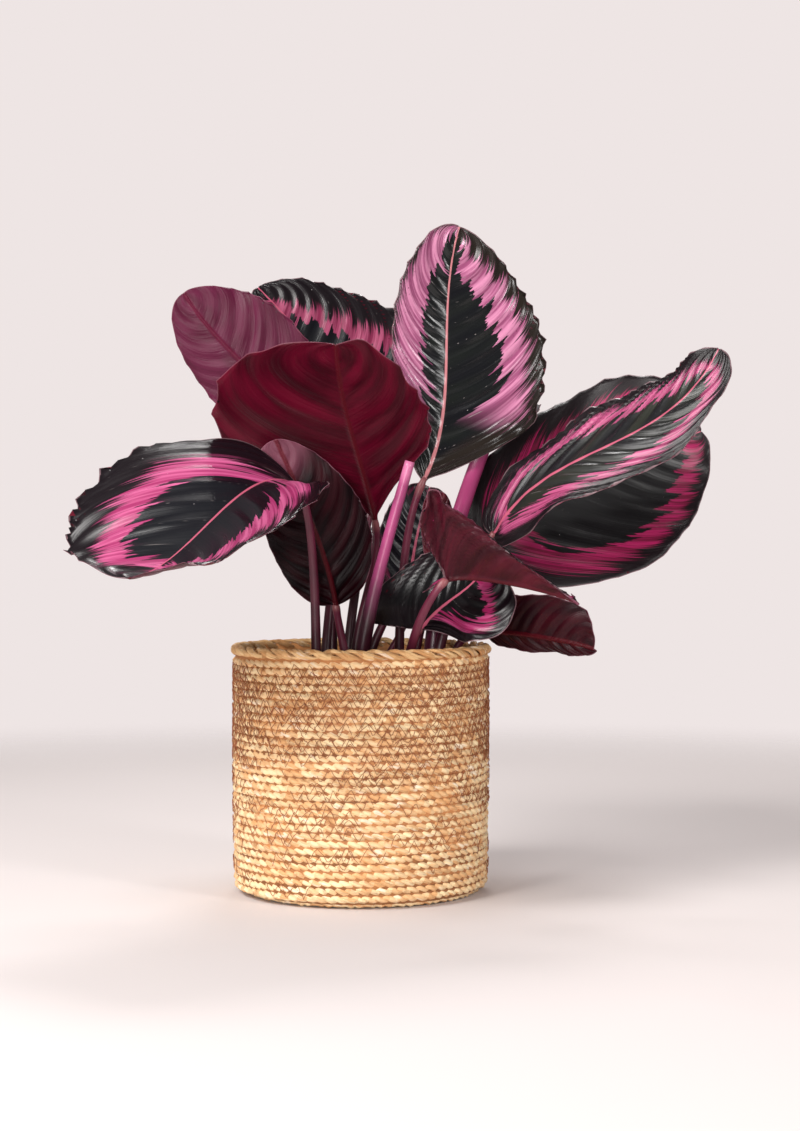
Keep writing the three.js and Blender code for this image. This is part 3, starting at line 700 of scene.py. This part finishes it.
def stalk_finish(name, low, high, joint, gloss=0.4, turn=(0.1, 0.85)):
    w = Wiring(name)
    share = w.map_values("stalk")[0]
    place = w.own_place()
    drawn_out = w.put("ShaderNodeMapping", {"Vector": place, "Scale": STALK_LINES}).outputs[0]
    lines = w.grain(drawn_out, 1.0)
    patches = w.grain(place, STALK_PATCHES)
    colour = w.blend(w.between(share, *turn), tone(*low), tone(*high))
    shade = tone(*[int(v * PATCH_SHADE) for v in low])
    colour = w.blend(w.between(patches, 0.4, 0.75, 0.0, 0.35), colour, shade)
    colour = w.blend(w.between(share, *JOINT_SPAN), colour, tone(*joint))
    normal = w.relief(lines, 0.0002, 0.4)
    return w.finish(colour, gloss, normal)


def with_root(places, directions):
    """The stalk's line begun a little lower, below the soil"""
    places = np.concatenate([places[:1] - [0, 0, BURIED], places])
    return places, np.concatenate([[[0, 0, 1.0]], directions])


def stalk_radii(leaf, share):
    first, last = leaf.get("stem", STALK_SIZES)
    swell, fade = ROOT_SWELL
    radii = first + (last - first) * share + swell * np.exp(-share / fade) * (first / STALK_SIZES[0])
    swell, middle, width = JOINT_SWELL
    radii += swell * np.exp(-(((share - middle) / width) ** 2))
    radii[share > NECK[0]] *= NECK[1]
    return radii


def make_leaves():
    thin = stalk_finish("leaf_stalk", (46, 8, 20), (104, 30, 56), (140, 80, 84))
    thick = stalk_finish("pink_stalk", (92, 24, 54), (160, 60, 108), (150, 52, 100), 0.3, (0.3, 0.6))
    for name, leaf in LEAVES.items():
        look = {**PLAIN_LOOK, **LOOKS.get(name, {})}
        upper = upper_finish(name, leaf, look)
        under = under_finish(name, leaf, look)
        mesh = blade_mesh("blade_fine_" + name, leaf, upper, under)
        new_piece("blade_fine_" + name, mesh, ["blade_" + name])
        share = np.linspace(0, 1, STALK_STEPS)
        places, directions = with_root(*bezier(stalk_points(leaf), share))
        radii = stalk_radii(leaf, np.concatenate([[0.0], share]))
        stalk = thick if name == "rear_high" else thin
        mesh = stalk_mesh("stalk_" + name, places, directions, radii, stalk)
        new_piece("stalk_" + name, mesh, ["petiole_" + name])


def make_cut_stalk():
    share = np.linspace(0, 1, CUT_STALK_STEPS)
    places, directions = with_root(*bezier(CUT_STALK, share))
    places = np.concatenate([places, places[-1:]])
    directions = np.concatenate([directions, directions[-1:]])
    radii = np.interp(share, CUT_STALK_SHARES, CUT_STALK_RADII)
    radii = np.concatenate([radii[:1], radii, [CUT_STALK_END]])
    pink = stalk_finish("cut_stalk_pink", (56, 12, 30), (164, 68, 116), (198, 110, 150), 0.35, (0.35, 0.6))
    mesh = stalk_mesh("cut_stalk_fine", places, directions, radii, pink, CUT_STALK_SIDES)
    new_piece("cut_stalk_fine", mesh, ["cut_stalk"])


class Growing(Nodes):
    def __init__(self, name, sizes):
        super().__init__(bpy.data.node_groups.new(name, "GeometryNodeTree"))
        face = self.tree.interface
        face.new_socket("Geometry", in_out="OUTPUT", socket_type="NodeSocketGeometry")
        self.sizes = sizes
        for label, value in sizes.items():
            kind = "NodeSocketInt" if isinstance(value, int) else "NodeSocketFloat"
            face.new_socket(label, in_out="INPUT", socket_type=kind)
        self.given = self.tree.nodes.new("NodeGroupInput")
        self.last = self.tree.nodes.new("NodeGroupOutput")

    def size(self, label):
        return self.given.outputs[label]

    def only(self, kind, inputs=None, **settings):
        return self.put(kind, inputs, **settings).outputs[0]

    def steps(self):
        """A line of points, and for each its share of the way"""
        line = self.only("GeometryNodeMeshLine", {"Count": self.size("Points")})
        last = self.sum("SUBTRACT", self.size("Points"), 1.0)
        return line, self.sum("DIVIDE", self.only("GeometryNodeInputIndex"), last)

    def clamped(self, value):
        return self.only("ShaderNodeClamp", {0: value})

    def mark(self, geometry, label, value):
        inputs = {"Geometry": geometry, "Name": label, "Value": value}
        return self.only("GeometryNodeStoreNamedAttribute", inputs, data_type="FLOAT")

    def grow(self, geometry, material, name):
        """Ends the tree, runs it on an empty piece and gives back its plain mesh"""
        geometry = self.only("GeometryNodeRealizeInstances", {"Geometry": geometry})
        geometry = self.only("GeometryNodeSetMaterial", {"Geometry": geometry, "Material": material})
        self.tree.links.new(geometry, self.last.inputs[0])
        carrier = bpy.data.objects.new(name + "_carrier", bpy.data.meshes.new(name + "_carrier"))
        bpy.context.scene.collection.objects.link(carrier)
        modifier = carrier.modifiers.new("growing", "NODES")
        modifier.node_group = self.tree
        for item in self.tree.interface.items_tree:
            if item.item_type == "SOCKET" and item.in_out == "INPUT":
                modifier[item.identifier] = self.sizes[item.name]
        graph = bpy.context.evaluated_depsgraph_get()
        mesh = bpy.data.meshes.new_from_object(carrier.evaluated_get(graph), depsgraph=graph)
        mesh.name = name
        carrier.modifiers.remove(modifier)
        bpy.data.objects.remove(carrier)
        if not mesh.materials:
            mesh.materials.append(material)
        return mesh


# Basket: sizes in millimetres, taken into metres where a tree is given them
ROW_PITCH = 4.85
ROPE_CENTRE = 81.35
BASKET_HEIGHT = 162.5
RIM_RADIUS = 3.9
RIM_CENTRE = 82.1
CORNER = 8.0
BASE_TAPER = 1.2
TAPER_HEIGHT = 60.0
FIRST_ROW = 3.2
WALL_TOP = BASKET_HEIGHT - 2 * RIM_RADIUS - 1.2
WALL_ROWS = round((WALL_TOP - FIRST_ROW) / ROW_PITCH)
STRANDS = 2
ROPE_LAY = 13.0
ROPE_OFFSETS = (1.15, 1.0)
STRAND_RADIUS = 1.75
POINTS_A_TURN = 250
WALL_SWAY = 1.6
SWAY_NOISE = (3.0, 3.0)
SWAY_RISE = 8.0
LUMPS_A_METRE = 55.0
STRAND_SLIP = 2.2
STRAND_SWELL = (1.1, 0.47)
RIM_PLIES = 3
RIM_LAY = 27.0
RIM_OFFSET = 2.35
RIM_STEPS = (0.35, 0.2)
RIM_PLY_RADIUS = 1.25
RIM_PLY_ANGLE = 0.62
RIM_POINTS = 300
RIM_SWAY = 0.6
FLOOR_TURNS = 15
FLOOR_START = 4.0
FLOOR_REACH = 71.5
FLOOR_LEVEL = 2.75
FLOOR_OFFSETS = (1.05, 1.25)
FLOOR_STRAND_RADIUS = 1.5
FLOOR_POINTS = 1500
CORE_OUTLINE = [
    (0.5, 1.6), (74.0, 1.6), (79.6, 4.4), (81.7, 9.0), (82.4, 60.0), (82.4, 156.0),
    (80.0, BASKET_HEIGHT - 3.5), (79.4, 150.0), (79.4, 8.0), (76.0, 5.4), (0.5, 5.4)]
CORE_SIDES = 128


def corner_pull(g, height):
    """How far the rope draws in near the floor: the rounded corner and a slight taper"""
    below = g.sum("SUBTRACT", CORNER * MM, height)
    up = g.clamped(g.sum("DIVIDE", below, CORNER * MM))
    rest = g.sum("SUBTRACT", 1.0, g.sum("MULTIPLY", up, up))
    round_part = g.sum("SUBTRACT", 1.0, g.sum("SQRT", rest))
    low = g.clamped(g.sum("SUBTRACT", 1.0, g.sum("DIVIDE", height, TAPER_HEIGHT * MM)))
    taper = g.sum("MULTIPLY", low, BASE_TAPER * MM)
    return g.sum("ADD", g.sum("MULTIPLY", round_part, CORNER * MM), taper)


def wall_sway(g, angle, height, amount):
    """How far the rows stray in and out"""
    around = g.vector(g.sum("COSINE", angle), g.sum("SINE", angle), g.sum("MULTIPLY", height, SWAY_RISE))
    return g.sum("MULTIPLY", g.off_centre(g.grain(around, *SWAY_NOISE)), amount)


def rope_mesh(name, material, sizes, profile_sides=6, flat=False):
    """One strand of a two-strand rope wound round the basket, or in a flat spiral under its floor"""
    g = Growing(name, sizes)
    line, share = g.steps()
    start = g.size("Start angle")
    angle = g.sum("MULTIPLY_ADD", g.sum("MULTIPLY", share, g.size("Turns")), 2 * math.pi, start)
    if flat:
        radius = g.sum("MULTIPLY_ADD", share, g.size("Rise"), g.size("Radius"))
        height = g.size("Height")
        both_radii = g.sum("ADD", radius, g.size("Radius"))
        ahead = g.sum("MULTIPLY", g.sum("MULTIPLY", angle, 0.5), both_radii)
    else:
        height = g.sum("MULTIPLY_ADD", share, g.size("Rise"), g.size("Height"))
        radius = g.sum("SUBTRACT", g.size("Radius"), corner_pull(g, height))
        ahead = g.sum("MULTIPLY", angle, g.size("Radius"))
    lengthwise = g.vector(g.sum("MULTIPLY", ahead, LUMPS_A_METRE), g.size("Strand"), g.size("Height"))
    lumps = g.grain(lengthwise, 1.0)
    slip = g.sum("MULTIPLY", g.off_centre(lumps), STRAND_SLIP)
    lays = g.sum("DIVIDE", ahead, g.size("Lay"))
    twist = g.sum("ADD", g.sum("MULTIPLY_ADD", lays, -2 * math.pi, g.size("Strand")), slip)
    out, up = g.size("Offset out"), g.size("Offset up")
    if flat:
        reach = g.sum("MULTIPLY_ADD", g.sum("COSINE", twist), up, radius)
        lift = g.sum("MULTIPLY_ADD", g.sum("SINE", twist), out, height)
    else:
        wall = g.sum("ADD", radius, wall_sway(g, angle, height, g.size("Sway")))
        reach = g.sum("MULTIPLY_ADD", g.sum("COSINE", twist), out, wall)
        lift = g.sum("MULTIPLY_ADD", g.sum("SINE", twist), up, height)
    across = g.sum("MULTIPLY", g.sum("COSINE", angle), reach)
    deep = g.sum("MULTIPLY", g.sum("SINE", angle), reach)
    line = g.mark(line, "along", ahead)
    spot = g.vector(across, deep, lift)
    moved = g.only("GeometryNodeSetPosition", {"Geometry": line, "Position": spot})
    curve = g.only("GeometryNodeMeshToCurve", {"Mesh": moved})
    swell = g.sum("MULTIPLY_ADD", lumps, *STRAND_SWELL)
    curve = g.only("GeometryNodeSetCurveRadius", {"Curve": curve, "Radius": swell})
    circle = {"Resolution": profile_sides, "Radius": g.size("Thickness")}
    ring = g.only("GeometryNodeCurvePrimitiveCircle", circle)
    ring = g.mark(ring, "around", g.only("GeometryNodeSplineParameter"))
    sweep = {"Curve": curve, "Profile Curve": ring, "Fill Caps": True}
    tube = g.put("GeometryNodeCurveToMesh", sweep)
    if "Scale" in tube.inputs:
        g.feed(tube.inputs["Scale"], g.only("GeometryNodeInputRadius"))
    tube = g.only("GeometryNodeSetShadeSmooth", {"Geometry": tube.outputs[0]})
    return g.grow(tube, material, name)


# Rush: colours of the fibre, with painted shade over the top rows, and how many of each mark a metre of
# rope holds
ORANGE_RUSH = (224, 158, 98)
BLEACHED_RUSH = (255, 244, 224)
STAIN = (172, 116, 70)
FIBRE_GAP = (176, 114, 66)
# Painted shade: the top rows, under the leaves, turn darker orange.
UPPER_ROWS_SHADE = (214, 150, 90)
UPPER_ROWS_SPAN = (0.13, 0.155)
FIBRES_A_METRE = 300.0
STRIPS_A_METRE = 110.0
PATCHES_A_METRE = 75.0
BUMPS_A_METRE = 154.0


def rush_finish(name, bright, brown):
    w = Wiring(name)
    along = w.put("ShaderNodeAttribute", attribute_name="along").outputs["Fac"]
    around = w.put("ShaderNodeAttribute", attribute_name="around").outputs["Fac"]
    place = w.own_place()
    up = w.put("ShaderNodeSeparateXYZ", {0: place}).outputs[2]
    row = w.sum("FLOOR", w.sum("MULTIPLY", up, 1.0 / (ROW_PITCH * MM)))

    def marks(count, across, detail, rough=0.5):
        spot = w.vector(w.sum("MULTIPLY", along, count), w.sum("MULTIPLY", around, across), row)
        return w.grain(spot, 1.0, detail, rough)

    fibres = marks(FIBRES_A_METRE, 16.0, 3.0, 0.6)
    strips = marks(STRIPS_A_METRE, 3.0, 2.0)
    bleached = marks(PATCHES_A_METRE, 2.0, 2.0)
    bump = w.sum("FLOOR", w.sum("MULTIPLY", along, BUMPS_A_METRE))
    chance = w.chance(w.vector(bump, w.sum("FLOOR", w.sum("MULTIPLY", around, 2.0)), row))
    mixed = w.sum("MULTIPLY_ADD", chance, 0.5, w.sum("MULTIPLY", strips, 0.6))
    colour = w.blend(w.between(mixed, 0.3, 0.85), tone(*bright), tone(*brown))
    for value, low, high, strength, mark in (
        (w.grain(place, 30.0), 0.5, 0.7, 0.35, ORANGE_RUSH),
        (bleached, 0.6, 0.68, 0.65, BLEACHED_RUSH),
        (w.grain(place, 130.0), 0.62, 0.72, 0.5, STAIN),
        (fibres, 0.58, 0.74, 0.45, FIBRE_GAP),
        # painted shade over the top rows
        (up, *UPPER_ROWS_SPAN, 0.2, UPPER_ROWS_SHADE),
    ):
        colour = w.blend(w.between(value, low, high, 0.0, strength), colour, tone(*mark))
    normal = w.relief(w.sum("MULTIPLY_ADD", strips, 1.5, fibres), 0.0008, 0.8)
    return w.finish(colour, 0.58, normal, Specular_IOR_Level=0.35)


def lathe_mesh(name, outline, material):
    outline = np.asarray(outline, float)
    angle = 2 * np.pi * np.arange(CORE_SIDES) / CORE_SIDES
    across = outline[:, None, 0] * np.cos(angle)
    deep = outline[:, None, 0] * np.sin(angle)
    corners = np.stack([across, deep, np.repeat(outline[:, None, 1], CORE_SIDES, 1)], -1)
    index = np.arange(corners[..., 0].size).reshape(across.shape)
    near = np.roll(index, -1, 1)
    after = np.roll(index, -1, 0)
    faces = np.stack([index, near, np.roll(near, -1, 0), after], -1).reshape(-1, 4)
    mesh = bpy.data.meshes.new(name)
    mesh.from_pydata((corners.reshape(-1, 3) * MM).tolist(), [], faces.tolist())
    mesh.materials.append(material)
    mesh.polygons.foreach_set("use_smooth", np.ones(len(faces), bool))
    mesh.update()
    return mesh


def rope_sizes(turns, radius, rise, height, lay, offsets, thick, points, strand, sway, start=0.0):
    out, up = offsets
    return {
        "Points": points, "Turns": float(turns), "Radius": radius * MM, "Rise": rise * MM,
        "Height": height * MM, "Lay": lay * MM, "Offset out": out * MM, "Offset up": up * MM,
        "Thickness": thick * MM, "Strand": float(strand), "Sway": sway * MM, "Start angle": float(start),
    }


def join(name, meshes, material):
    """One mesh from several, keeping their attributes"""
    parts = []
    for mesh in meshes:
        part = bpy.data.objects.new(mesh.name, mesh)
        bpy.context.scene.collection.objects.link(part)
        parts.append(part)
    for item in bpy.context.selected_objects:
        item.select_set(False)
    for part in parts:
        part.select_set(True)
    bpy.context.view_layer.objects.active = parts[0]
    bpy.ops.object.join()
    mesh = parts[0].data
    bpy.data.objects.remove(parts[0])
    mesh.name = name
    mesh.materials.clear()
    mesh.materials.append(material)
    mesh.polygons.foreach_set("material_index", np.zeros(len(mesh.polygons), np.int32))
    return mesh


def wall_rope(name, turns, rows_below, rush):
    rise = (WALL_TOP - FIRST_ROW) / WALL_ROWS
    height = FIRST_ROW + rows_below * rise
    strands = []
    for k in range(STRANDS):
        sizes = rope_sizes(
            turns, ROPE_CENTRE, turns * rise, height, ROPE_LAY, ROPE_OFFSETS, STRAND_RADIUS,
            turns * POINTS_A_TURN + 1, k * math.pi, WALL_SWAY, 2 * math.pi * rows_below)
        strands.append(rope_mesh(f"{name}_{k}", rush, sizes))
    new_piece("basket_" + name, join("basket_" + name, strands, rush), ["basket"])


def rim_rope(rush):
    strands = []
    for k in range(STRANDS):
        for m in range(RIM_PLIES):
            offsets = (RIM_OFFSET - RIM_STEPS[0] * m, RIM_OFFSET - RIM_STEPS[1] * m)
            sizes = rope_sizes(
                1.0, RIM_CENTRE, 0.0, BASKET_HEIGHT - RIM_RADIUS, RIM_LAY, offsets, RIM_PLY_RADIUS,
                RIM_POINTS, k * math.pi + (m - 1) * RIM_PLY_ANGLE, RIM_SWAY)
            strands.append(rope_mesh(f"rim_{k}_{m}", rush, sizes, 8))
    new_piece("basket_rim", join("basket_rim", strands, rush), ["basket"])


def floor_rope(rush):
    strands = []
    for k in range(STRANDS):
        sizes = rope_sizes(
            FLOOR_TURNS, FLOOR_START, FLOOR_REACH, FLOOR_LEVEL, ROPE_LAY, FLOOR_OFFSETS,
            FLOOR_STRAND_RADIUS, FLOOR_POINTS, k * math.pi, 0.0)
        strands.append(rope_mesh(f"floor_{k}", rush, sizes, flat=True))
    new_piece("basket_floor", join("basket_floor", strands, rush), ["basket"])


def make_basket():
    rush = rush_finish("rush_rope", (255, 230, 184), (230, 178, 124))
    rim_rush = rush_finish("rim_rush", (240, 204, 150), (200, 148, 96))
    lower_rows = WALL_ROWS // 2
    wall_rope("rope_low", lower_rows, 0, rush)
    wall_rope("rope_high", WALL_ROWS - lower_rows, lower_rows, rush)
    rim_rope(rim_rush)
    floor_rope(rush)
    # Painted shade: the core that shows in the gaps between the rows is a darker copy of the rush.
    core = rush_finish("rush_core", (186, 126, 80), (136, 88, 52))
    new_piece("basket_core", lathe_mesh("basket_core", CORE_OUTLINE, core), ["basket"])


# Sewing fibre: two lines of stitches, each with its count a turn and its half swing
STITCHES = ((52, 4.2), (44, 5.4))
POINTS_A_STITCH = 8
THREAD_OUT = 1.35
THREAD_BULGE = 1.75
THREAD_RADIUS = 0.23
THREAD_ENDS = (5.0, 4.0)
THREAD_WEAR = 1.1
THREAD_KEPT = 0.6
STITCH_JITTER = 1.8


def thread_mesh(name, material, sizes):
    """Sewing fibre that swings up and down over the rows as it goes round, broken here and there"""
    g = Growing(name, sizes)
    line, share = g.steps()
    seed = g.size("Seed")
    turned = g.sum("MULTIPLY", share, g.size("Turns"))
    angle = g.sum("MULTIPLY", turned, 2 * math.pi)
    height = g.sum("MULTIPLY_ADD", share, g.size("Rise"), g.size("Height"))
    count = g.sum("MULTIPLY", share, g.size("Stitches"))
    jitter = g.off_centre(g.grain(g.vector(g.sum("MULTIPLY", count, 0.6), seed, 0.0), 1.0))
    count = g.sum("MULTIPLY_ADD", jitter, STITCH_JITTER, count)
    tall = g.grain(g.vector(g.sum("MULTIPLY", count, 0.31), 5.0, seed), 1.0)
    there_and_back = g.sum("PINGPONG", g.sum("MULTIPLY", count, 2.0), 1.0)
    swing = g.sum("SUBTRACT", g.sum("MULTIPLY", there_and_back, 2.0), 1.0)
    reach_up = g.sum("MULTIPLY", g.sum("MULTIPLY", swing, g.size("Half swing")), g.sum("ADD", tall, 0.5))
    lift = g.sum("ADD", reach_up, height)
    rows = g.sum("DIVIDE", g.sum("SUBTRACT", lift, g.size("Height")), g.size("Pitch"))
    phase = g.sum("MULTIPLY", g.sum("SUBTRACT", rows, turned), math.pi)
    bump = g.sum("ABSOLUTE", g.sum("COSINE", phase))
    wall = g.sum("ADD", wall_sway(g, angle, lift, WALL_SWAY * MM), g.size("Radius"))
    wall = g.sum("SUBTRACT", wall, corner_pull(g, lift))
    reach = g.sum("MULTIPLY_ADD", g.sum("SQRT", bump), g.size("Bulge"), wall)
    across = g.sum("MULTIPLY", g.sum("COSINE", angle), reach)
    deep = g.sum("MULTIPLY", g.sum("SINE", angle), reach)
    spot = g.vector(across, deep, lift)
    moved = g.only("GeometryNodeSetPosition", {"Geometry": line, "Position": spot})
    gaps = g.grain(g.vector(g.sum("MULTIPLY", count, 0.12), 9.0, seed), 1.0)
    wear = g.sum("MULTIPLY_ADD", height, -THREAD_WEAR, THREAD_KEPT)
    broken = g.sum("GREATER_THAN", gaps, g.sum("SUBTRACT", 1.0, wear))
    moved = g.only("GeometryNodeDeleteGeometry", {"Geometry": moved, "Selection": broken})
    curve = g.only("GeometryNodeMeshToCurve", {"Mesh": moved})
    ring = g.only("GeometryNodeCurvePrimitiveCircle", {"Resolution": 3, "Radius": g.size("Thickness")})
    sweep = {"Curve": curve, "Profile Curve": ring, "Fill Caps": True}
    tube = g.only("GeometryNodeCurveToMesh", sweep)
    tube = g.only("GeometryNodeSetShadeSmooth", {"Geometry": tube})
    return g.grow(tube, material, name)


def make_thread():
    thread = Wiring("sewing_thread").finish(tone(158, 94, 58), 0.7)
    below, above = THREAD_ENDS
    meshes = []
    for k, (stitches, swing) in enumerate(STITCHES):
        sizes = {
            "Points": WALL_ROWS * stitches * POINTS_A_STITCH, "Turns": float(WALL_ROWS),
            "Radius": (ROPE_CENTRE + THREAD_OUT) * MM, "Rise": (WALL_TOP - FIRST_ROW - below - above) * MM,
            "Height": (FIRST_ROW + below) * MM, "Stitches": WALL_ROWS * float(stitches),
            "Bulge": THREAD_BULGE * MM, "Half swing": swing * MM, "Pitch": ROW_PITCH * MM,
            "Seed": float(k * 7), "Thickness": THREAD_RADIUS * MM}
        meshes.append(thread_mesh(f"thread_{k}", thread, sizes))
    new_piece("basket_thread", join("basket_thread", meshes, thread), ["basket"])


# Pot and soil
def dress(node_name, material):
    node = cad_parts[node_name]
    node.data.materials.clear()
    node.data.materials.append(material)


def make_pot_and_soil():
    w = Wiring("pot_black")
    scuffs = w.grain(w.own_place(), 90.0, 3.0)
    colour = w.blend(w.between(scuffs, 0.4, 0.7), tone(34, 34, 36), tone(48, 46, 45))
    dress("grow_pot", w.finish(colour, 0.5))
    w = Wiring("potting_soil")
    place = w.own_place()
    crumbs = w.grain(place, 420.0, 4.0, 0.6)
    clods = w.put("ShaderNodeTexVoronoi", {"Vector": place, "Scale": 260.0}).outputs["Distance"]
    colour = w.blend(w.between(crumbs, 0.35, 0.7), tone(38, 26, 19), tone(84, 62, 45))
    normal = w.relief(w.sum("MULTIPLY_ADD", clods, -1.5, crumbs), 0.002, 1.0)
    dress("soil", w.finish(colour, 0.95, normal))


# Room: a pale floor that fades into the backdrop, and four soft lamps
FLOOR_RADIUS = 1.4
FLOOR_CLEAR = 0.75
FLOOR_GONE = 1.35
FLOOR_COLOUR = (226, 219, 218)
ROOM_COLOUR = (238, 229, 228)
ROOM_LIGHT = 0.22
LAMPS = (
    ("key", (-1.0, -1.1, 1.4), (0.0, 0.0, 0.22), 0.95, 36.0, (1.0, 0.98, 0.96)),
    ("front", (-0.5, -2.1, 0.35), (0.0, 0.0, 0.1), 0.7, 23.0, (1.0, 0.97, 0.95)),
    ("side", (1.2, -1.2, 0.75), (0.0, 0.0, 0.25), 0.35, 9.0, (1.0, 0.98, 0.97)),
    ("back", (0.1, 0.9, 1.6), (0.0, 0.0, 0.3), 0.5, 13.0, (1.0, 0.98, 0.97)),
)


def make_floor():
    bpy.ops.mesh.primitive_circle_add(vertices=96, radius=FLOOR_RADIUS, fill_type="NGON")
    floor = bpy.context.object
    floor.name = "floor"
    w = Wiring("pale_floor")
    reach = w.put("ShaderNodeVectorMath", {0: w.own_place()}, operation="LENGTH").outputs["Value"]
    pale = w.put("ShaderNodeBsdfDiffuse", {"Color": tone(*FLOOR_COLOUR)}).outputs[0]
    clear = w.put("ShaderNodeBsdfTransparent").outputs[0]
    fading = w.between(reach, FLOOR_CLEAR, FLOOR_GONE)
    mixed = w.put("ShaderNodeMixShader", {0: fading, 1: pale, 2: clear})
    w.tree.links.new(mixed.outputs[0], w.output.inputs[0])
    floor.data.materials.append(w.material)


def make_room():
    """The backdrop is bright to the camera and dim as a light"""
    world = bpy.data.worlds.new("room")
    bpy.context.scene.world = world
    world.use_nodes = True
    nodes = Nodes(world.node_tree)
    glow = nodes.tree.nodes["Background"]
    glow.inputs[0].default_value = tone(*ROOM_COLOUR)
    seen = nodes.put("ShaderNodeLightPath").outputs["Is Camera Ray"]
    nodes.feed(glow.inputs[1], nodes.sum("MULTIPLY_ADD", seen, 1.0 - ROOM_LIGHT, ROOM_LIGHT))
    for lamp in LAMPS:
        soft_light(*lamp)


set_camera()
plain_colours()
make_floor()
make_room()
make_leaves()
make_cut_stalk()
make_basket()
make_thread()
make_pot_and_soil()
